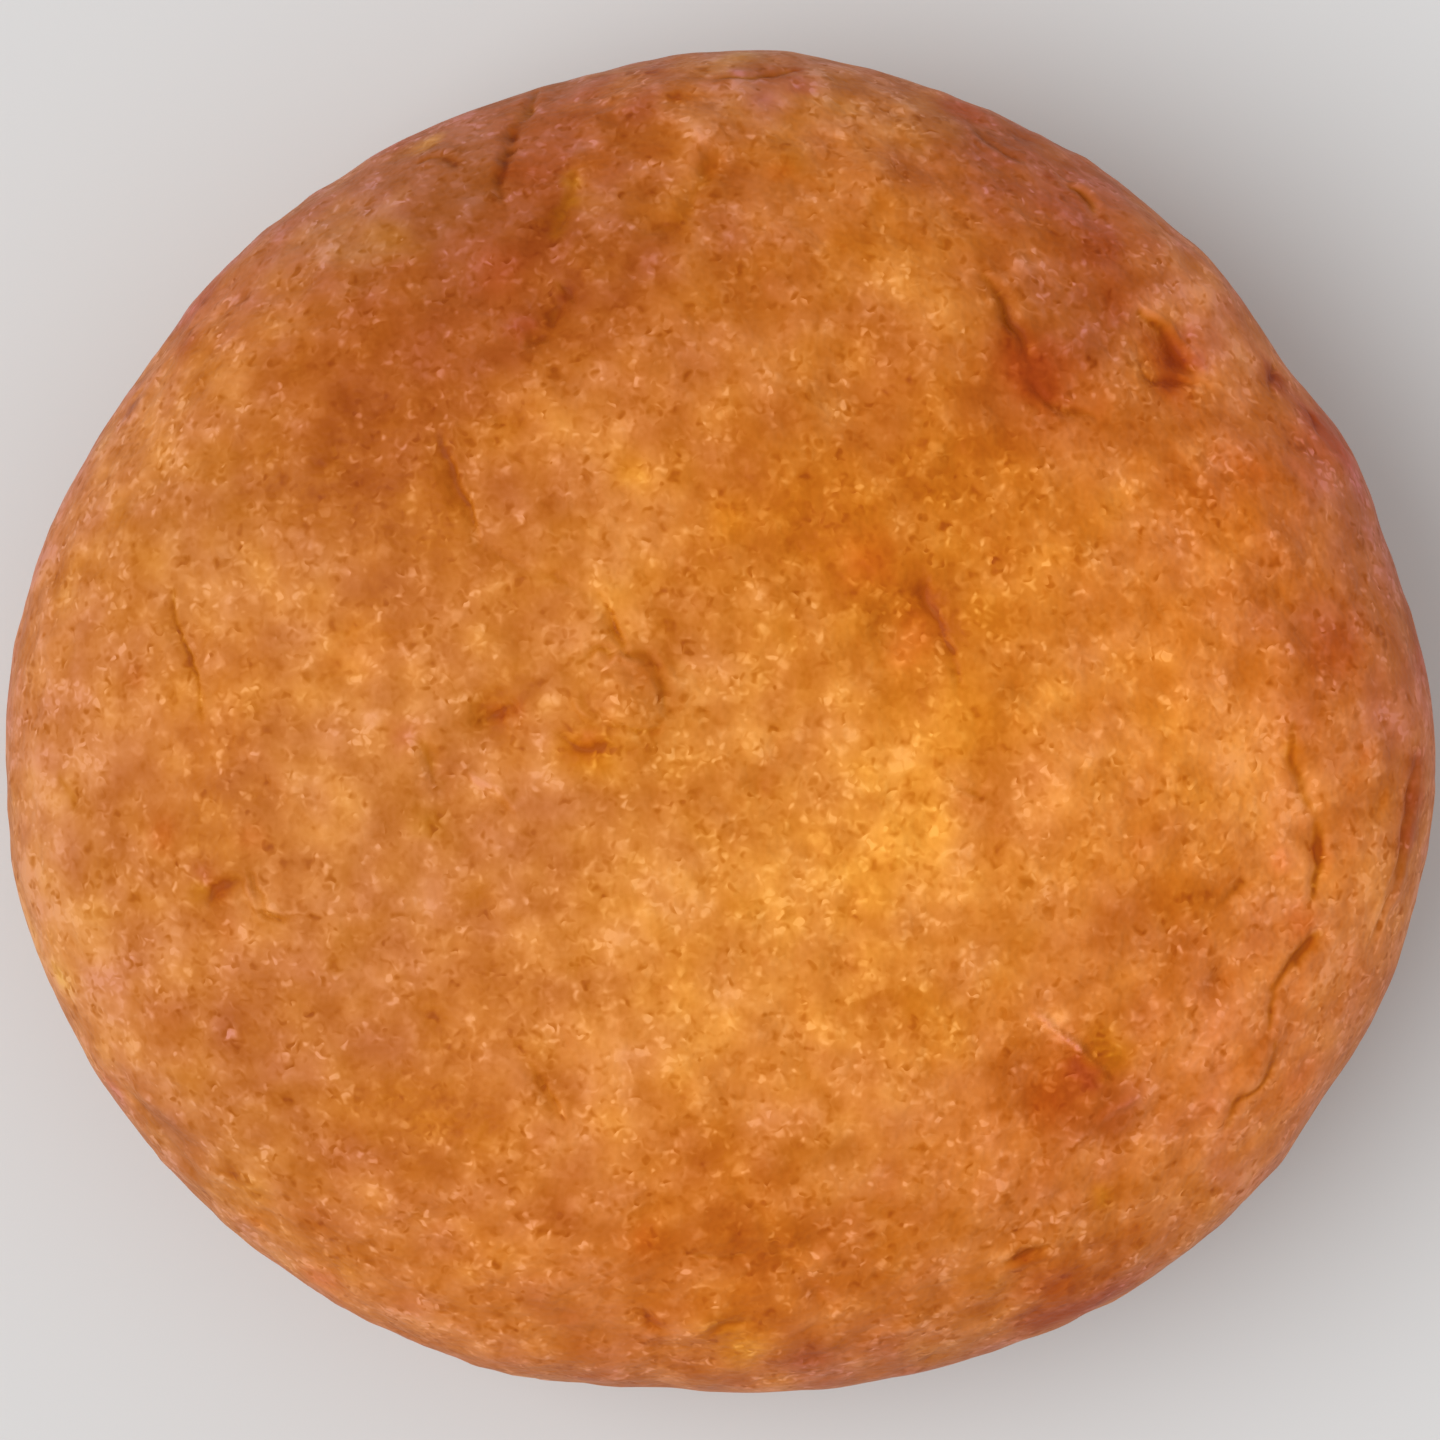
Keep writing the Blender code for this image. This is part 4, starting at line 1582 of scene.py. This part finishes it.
        paler = mottle * self.mottle + grain * self.grain
        paler = paler + self.mottling(tree, place) - brown
        # Furrows are darkened with browning and painted shade; ridges are lightened with a painted
        # highlight.
        # The crest value paints highlights on raised fine relief and shade in its dents.
        paler = paler - furrow * self.furrow + crest * self.crest
        golden = golden + tree.cloud(place, self.hue_drift) * self.hue
        golden = golden + furrow * self.furrow_gold
        rusty = rusty - furrow * self.furrow_straw
        colour = self.colour(tree, paler, golden, rusty)
        tree.put(tree.shader.inputs["Base Color"], colour)

        rough = self.roughness + mottle * self.rough_swing
        tree.put(tree.shader.inputs["Roughness"], rough)
        height = grain * self.bump_height
        inputs = {"Height": height, "Distance": MM, "Strength": self.bump}
        tree.put(tree.shader.inputs["Normal"], tree.node("ShaderNodeBump", {}, inputs))
        tree.put(tree.shader.inputs["Specular IOR Level"], self.sheen)
        return tree.material


@dataclass
class Crust:
    """The bun's whole skin as one closed mesh, finer on the top.

    Attributes:
        bun: The plain bun.
        relief: What stands out from it.
        browning: How far it is fried.
        finish: Its material.
        splits: How often the ball is split all over.
        fine_from: From what rise of the direction the top is split once more.
        near_furrow: How near a furrow it is split again, once for each.
        finest_edge: How long an edge must be to be split there.
        crest_span: How high the fine relief is where the painted highlight on its crests is palest.
    """

    bun: PlainBun
    relief: Relief
    browning: Browning
    finish: CrustFinish
    splits: int = 7
    fine_from: float = 0.37
    near_furrow: Span = (1.0 * MM, 0.5 * MM)
    finest_edge: float = 0.28 * MM
    quick_splits: int = 5
    crest_span: float = 0.35 * MM

    def split(self, ball: bmesh.types.BMesh, faces: list[bmesh.types.BMFace]) -> None:
        """Split faces of the ball into four each, and keep it a ball.

        Args:
            ball: The ball.
            faces: The faces to split.
        """
        edges = list(dict.fromkeys(edge for face in faces for edge in face.edges))
        bmesh.ops.subdivide_edges(ball, edges=edges, cuts=1)
        bmesh.ops.triangulate(ball, faces=ball.faces[:])
        for vertex in ball.verts:
            vertex.co.normalize()

    def ball(self) -> bmesh.types.BMesh:
        """A ball of triangles, finer on the top and finer still at the furrows.

        Returns:
            The ball, of radius 1.
        """
        ball = bmesh.new()
        splits = self.splits
        bmesh.ops.create_icosphere(ball, subdivisions=splits, radius=1.0)
        upper = [face for face in ball.faces
                 if face.calc_center_median().z > self.fine_from]
        self.split(ball, upper)
        for reach in self.near_furrow:
            near = []
            for face in ball.faces:
                centre = face.calc_center_median().normalized()
                place = self.bun.skin(centre)[0]
                long = face.edges[0].calc_length() * self.bun.mean_radius
                if long > self.finest_edge and self.relief.near_furrow(place, reach):
                    near.append(face)
            self.split(ball, near)
        return ball

    def shape(self, ball: bmesh.types.BMesh) -> None:
        """Move each point of the ball out to the crust and note its finish.

        Args:
            ball: The ball.
        """
        layers = [ball.verts.layers.float.new(name) for name in POINT_VALUES]
        for vertex in ball.verts:
            direction = vertex.co.normalized()
            place, normal = self.bun.skin(direction)
            height, fine, shade = self.relief.at(direction, place)
            # The crest value feeds painted highlights on raised fine relief and painted shade in its
            # dents.
            crest = max(-1.0, min(1.0, fine / self.crest_span))
            for layer, value in zip(layers, (*self.browning.at(place), shade, crest)):
                vertex[layer] = value
            vertex.co = place + normal * height
            vertex.co.z = max(vertex.co.z, 0.0)

    def build(self) -> bpy.types.Object:
        """Build and dress the crust.

        Returns:
            The piece that stands for the solid.
        """
        ball = self.ball()
        self.shape(ball)
        bmesh.ops.recalc_face_normals(ball, faces=ball.faces[:])
        crust = add_mesh("crust", ball, self.finish.material())
        crust.data.shade_smooth()
        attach(crust, BODY)
        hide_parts(NODE)
        return crust


@dataclass(frozen=True)
class FloorFinish:
    """Plain pale floor.

    Attributes:
        colour: Its colour.
        roughness: How dull it is.
    """

    colour: Colour = (0.62, 0.62, 0.62)
    roughness: float = 0.9

    def material(self) -> bpy.types.Material:
        """Make the material.

        Returns:
            The material.
        """
        tree = ShaderTree("pale_floor")
        tree.put(tree.shader.inputs["Base Color"], (*self.colour, 1.0))
        tree.put(tree.shader.inputs["Roughness"], self.roughness)
        return tree.material


@dataclass
class Studio:
    """The floor, the soft light and the camera.

    Attributes:
        bun: The plain bun.
        finish: The floor's finish.
        reach: Half of the floor's width.
        lens: The camera's focal length in mm.
        sensor: The width of its sensor in mm.
        frame_width: How much the picture takes in at the bun's waist.
        sun: Strength of the soft light from the left.
        sun_turn: Where that light comes from, in degrees from +X.
        sun_height: How high it stands, in degrees.
        sun_spread: How wide it is, in degrees.
        sky: Strength of the light from all round.
        sky_colour: The colour of that light.
    """

    bun: PlainBun
    finish: FloorFinish = FloorFinish()
    reach: float = 2.0
    lens: float = 200.0
    sensor: float = 36.0
    frame_width: float = 106.2 * MM
    sun: float = 1.8
    sun_turn: float = 188.0
    sun_height: float = 55.0
    sun_spread: float = 50.0
    sky: float = 0.68
    sky_colour: Colour = (1.0, 1.0, 1.0)

    def lay_floor(self) -> None:
        """A wide flat floor under the bun."""
        flat = bmesh.new()
        bmesh.ops.create_grid(flat, x_segments=1, y_segments=1, size=self.reach)
        floor = add_mesh("floor", flat, self.finish.material())

    def hang_lights(self) -> None:
        """One wide soft light from the left, and an even sky."""
        light = bpy.data.lights.new("soft_light", "SUN")
        light.energy = self.sun
        light.angle = math.radians(self.sun_spread)
        towards = direction_at(self.sun_turn, self.sun_height)
        lamp = add_object("soft_light", light)
        lamp.rotation_euler = towards.to_track_quat("Z", "Y").to_euler()
        world = bpy.data.worlds.new("sky")
        world.use_nodes = True
        sky = world.node_tree.nodes["Background"]
        sky.inputs["Color"].default_value = (*self.sky_colour, 1.0)
        sky.inputs["Strength"].default_value = self.sky
        bpy.context.scene.world = world
        bpy.context.scene.view_settings.view_transform = "Standard"

    def place_camera(self) -> None:
        """A camera straight above, with +Y up in the picture."""
        data = bpy.data.cameras.new("camera")
        data.lens = self.lens
        data.sensor_width = self.sensor
        camera = add_object("camera", data)
        distance = self.frame_width * self.lens / self.sensor
        camera.location = (0.0, 0.0, self.bun.middle.z + distance)
        bpy.context.scene.camera = camera


def main() -> None:
    """Build the bun's crust and the studio, in order."""
    logging.basicConfig(level=logging.INFO, format="%(name)s: %(message)s")
    bun = PlainBun()
    crust = Crust(bun, Relief(bun), Browning(bun), CrustFinish()).build()
    log.info("crust: %d points", len(crust.data.vertices))
    studio = Studio(bun)
    studio.lay_floor()
    studio.hang_lights()
    studio.place_camera()
    log.info("studio: floor, lights and camera")


if __name__ == "__main__":
    main()
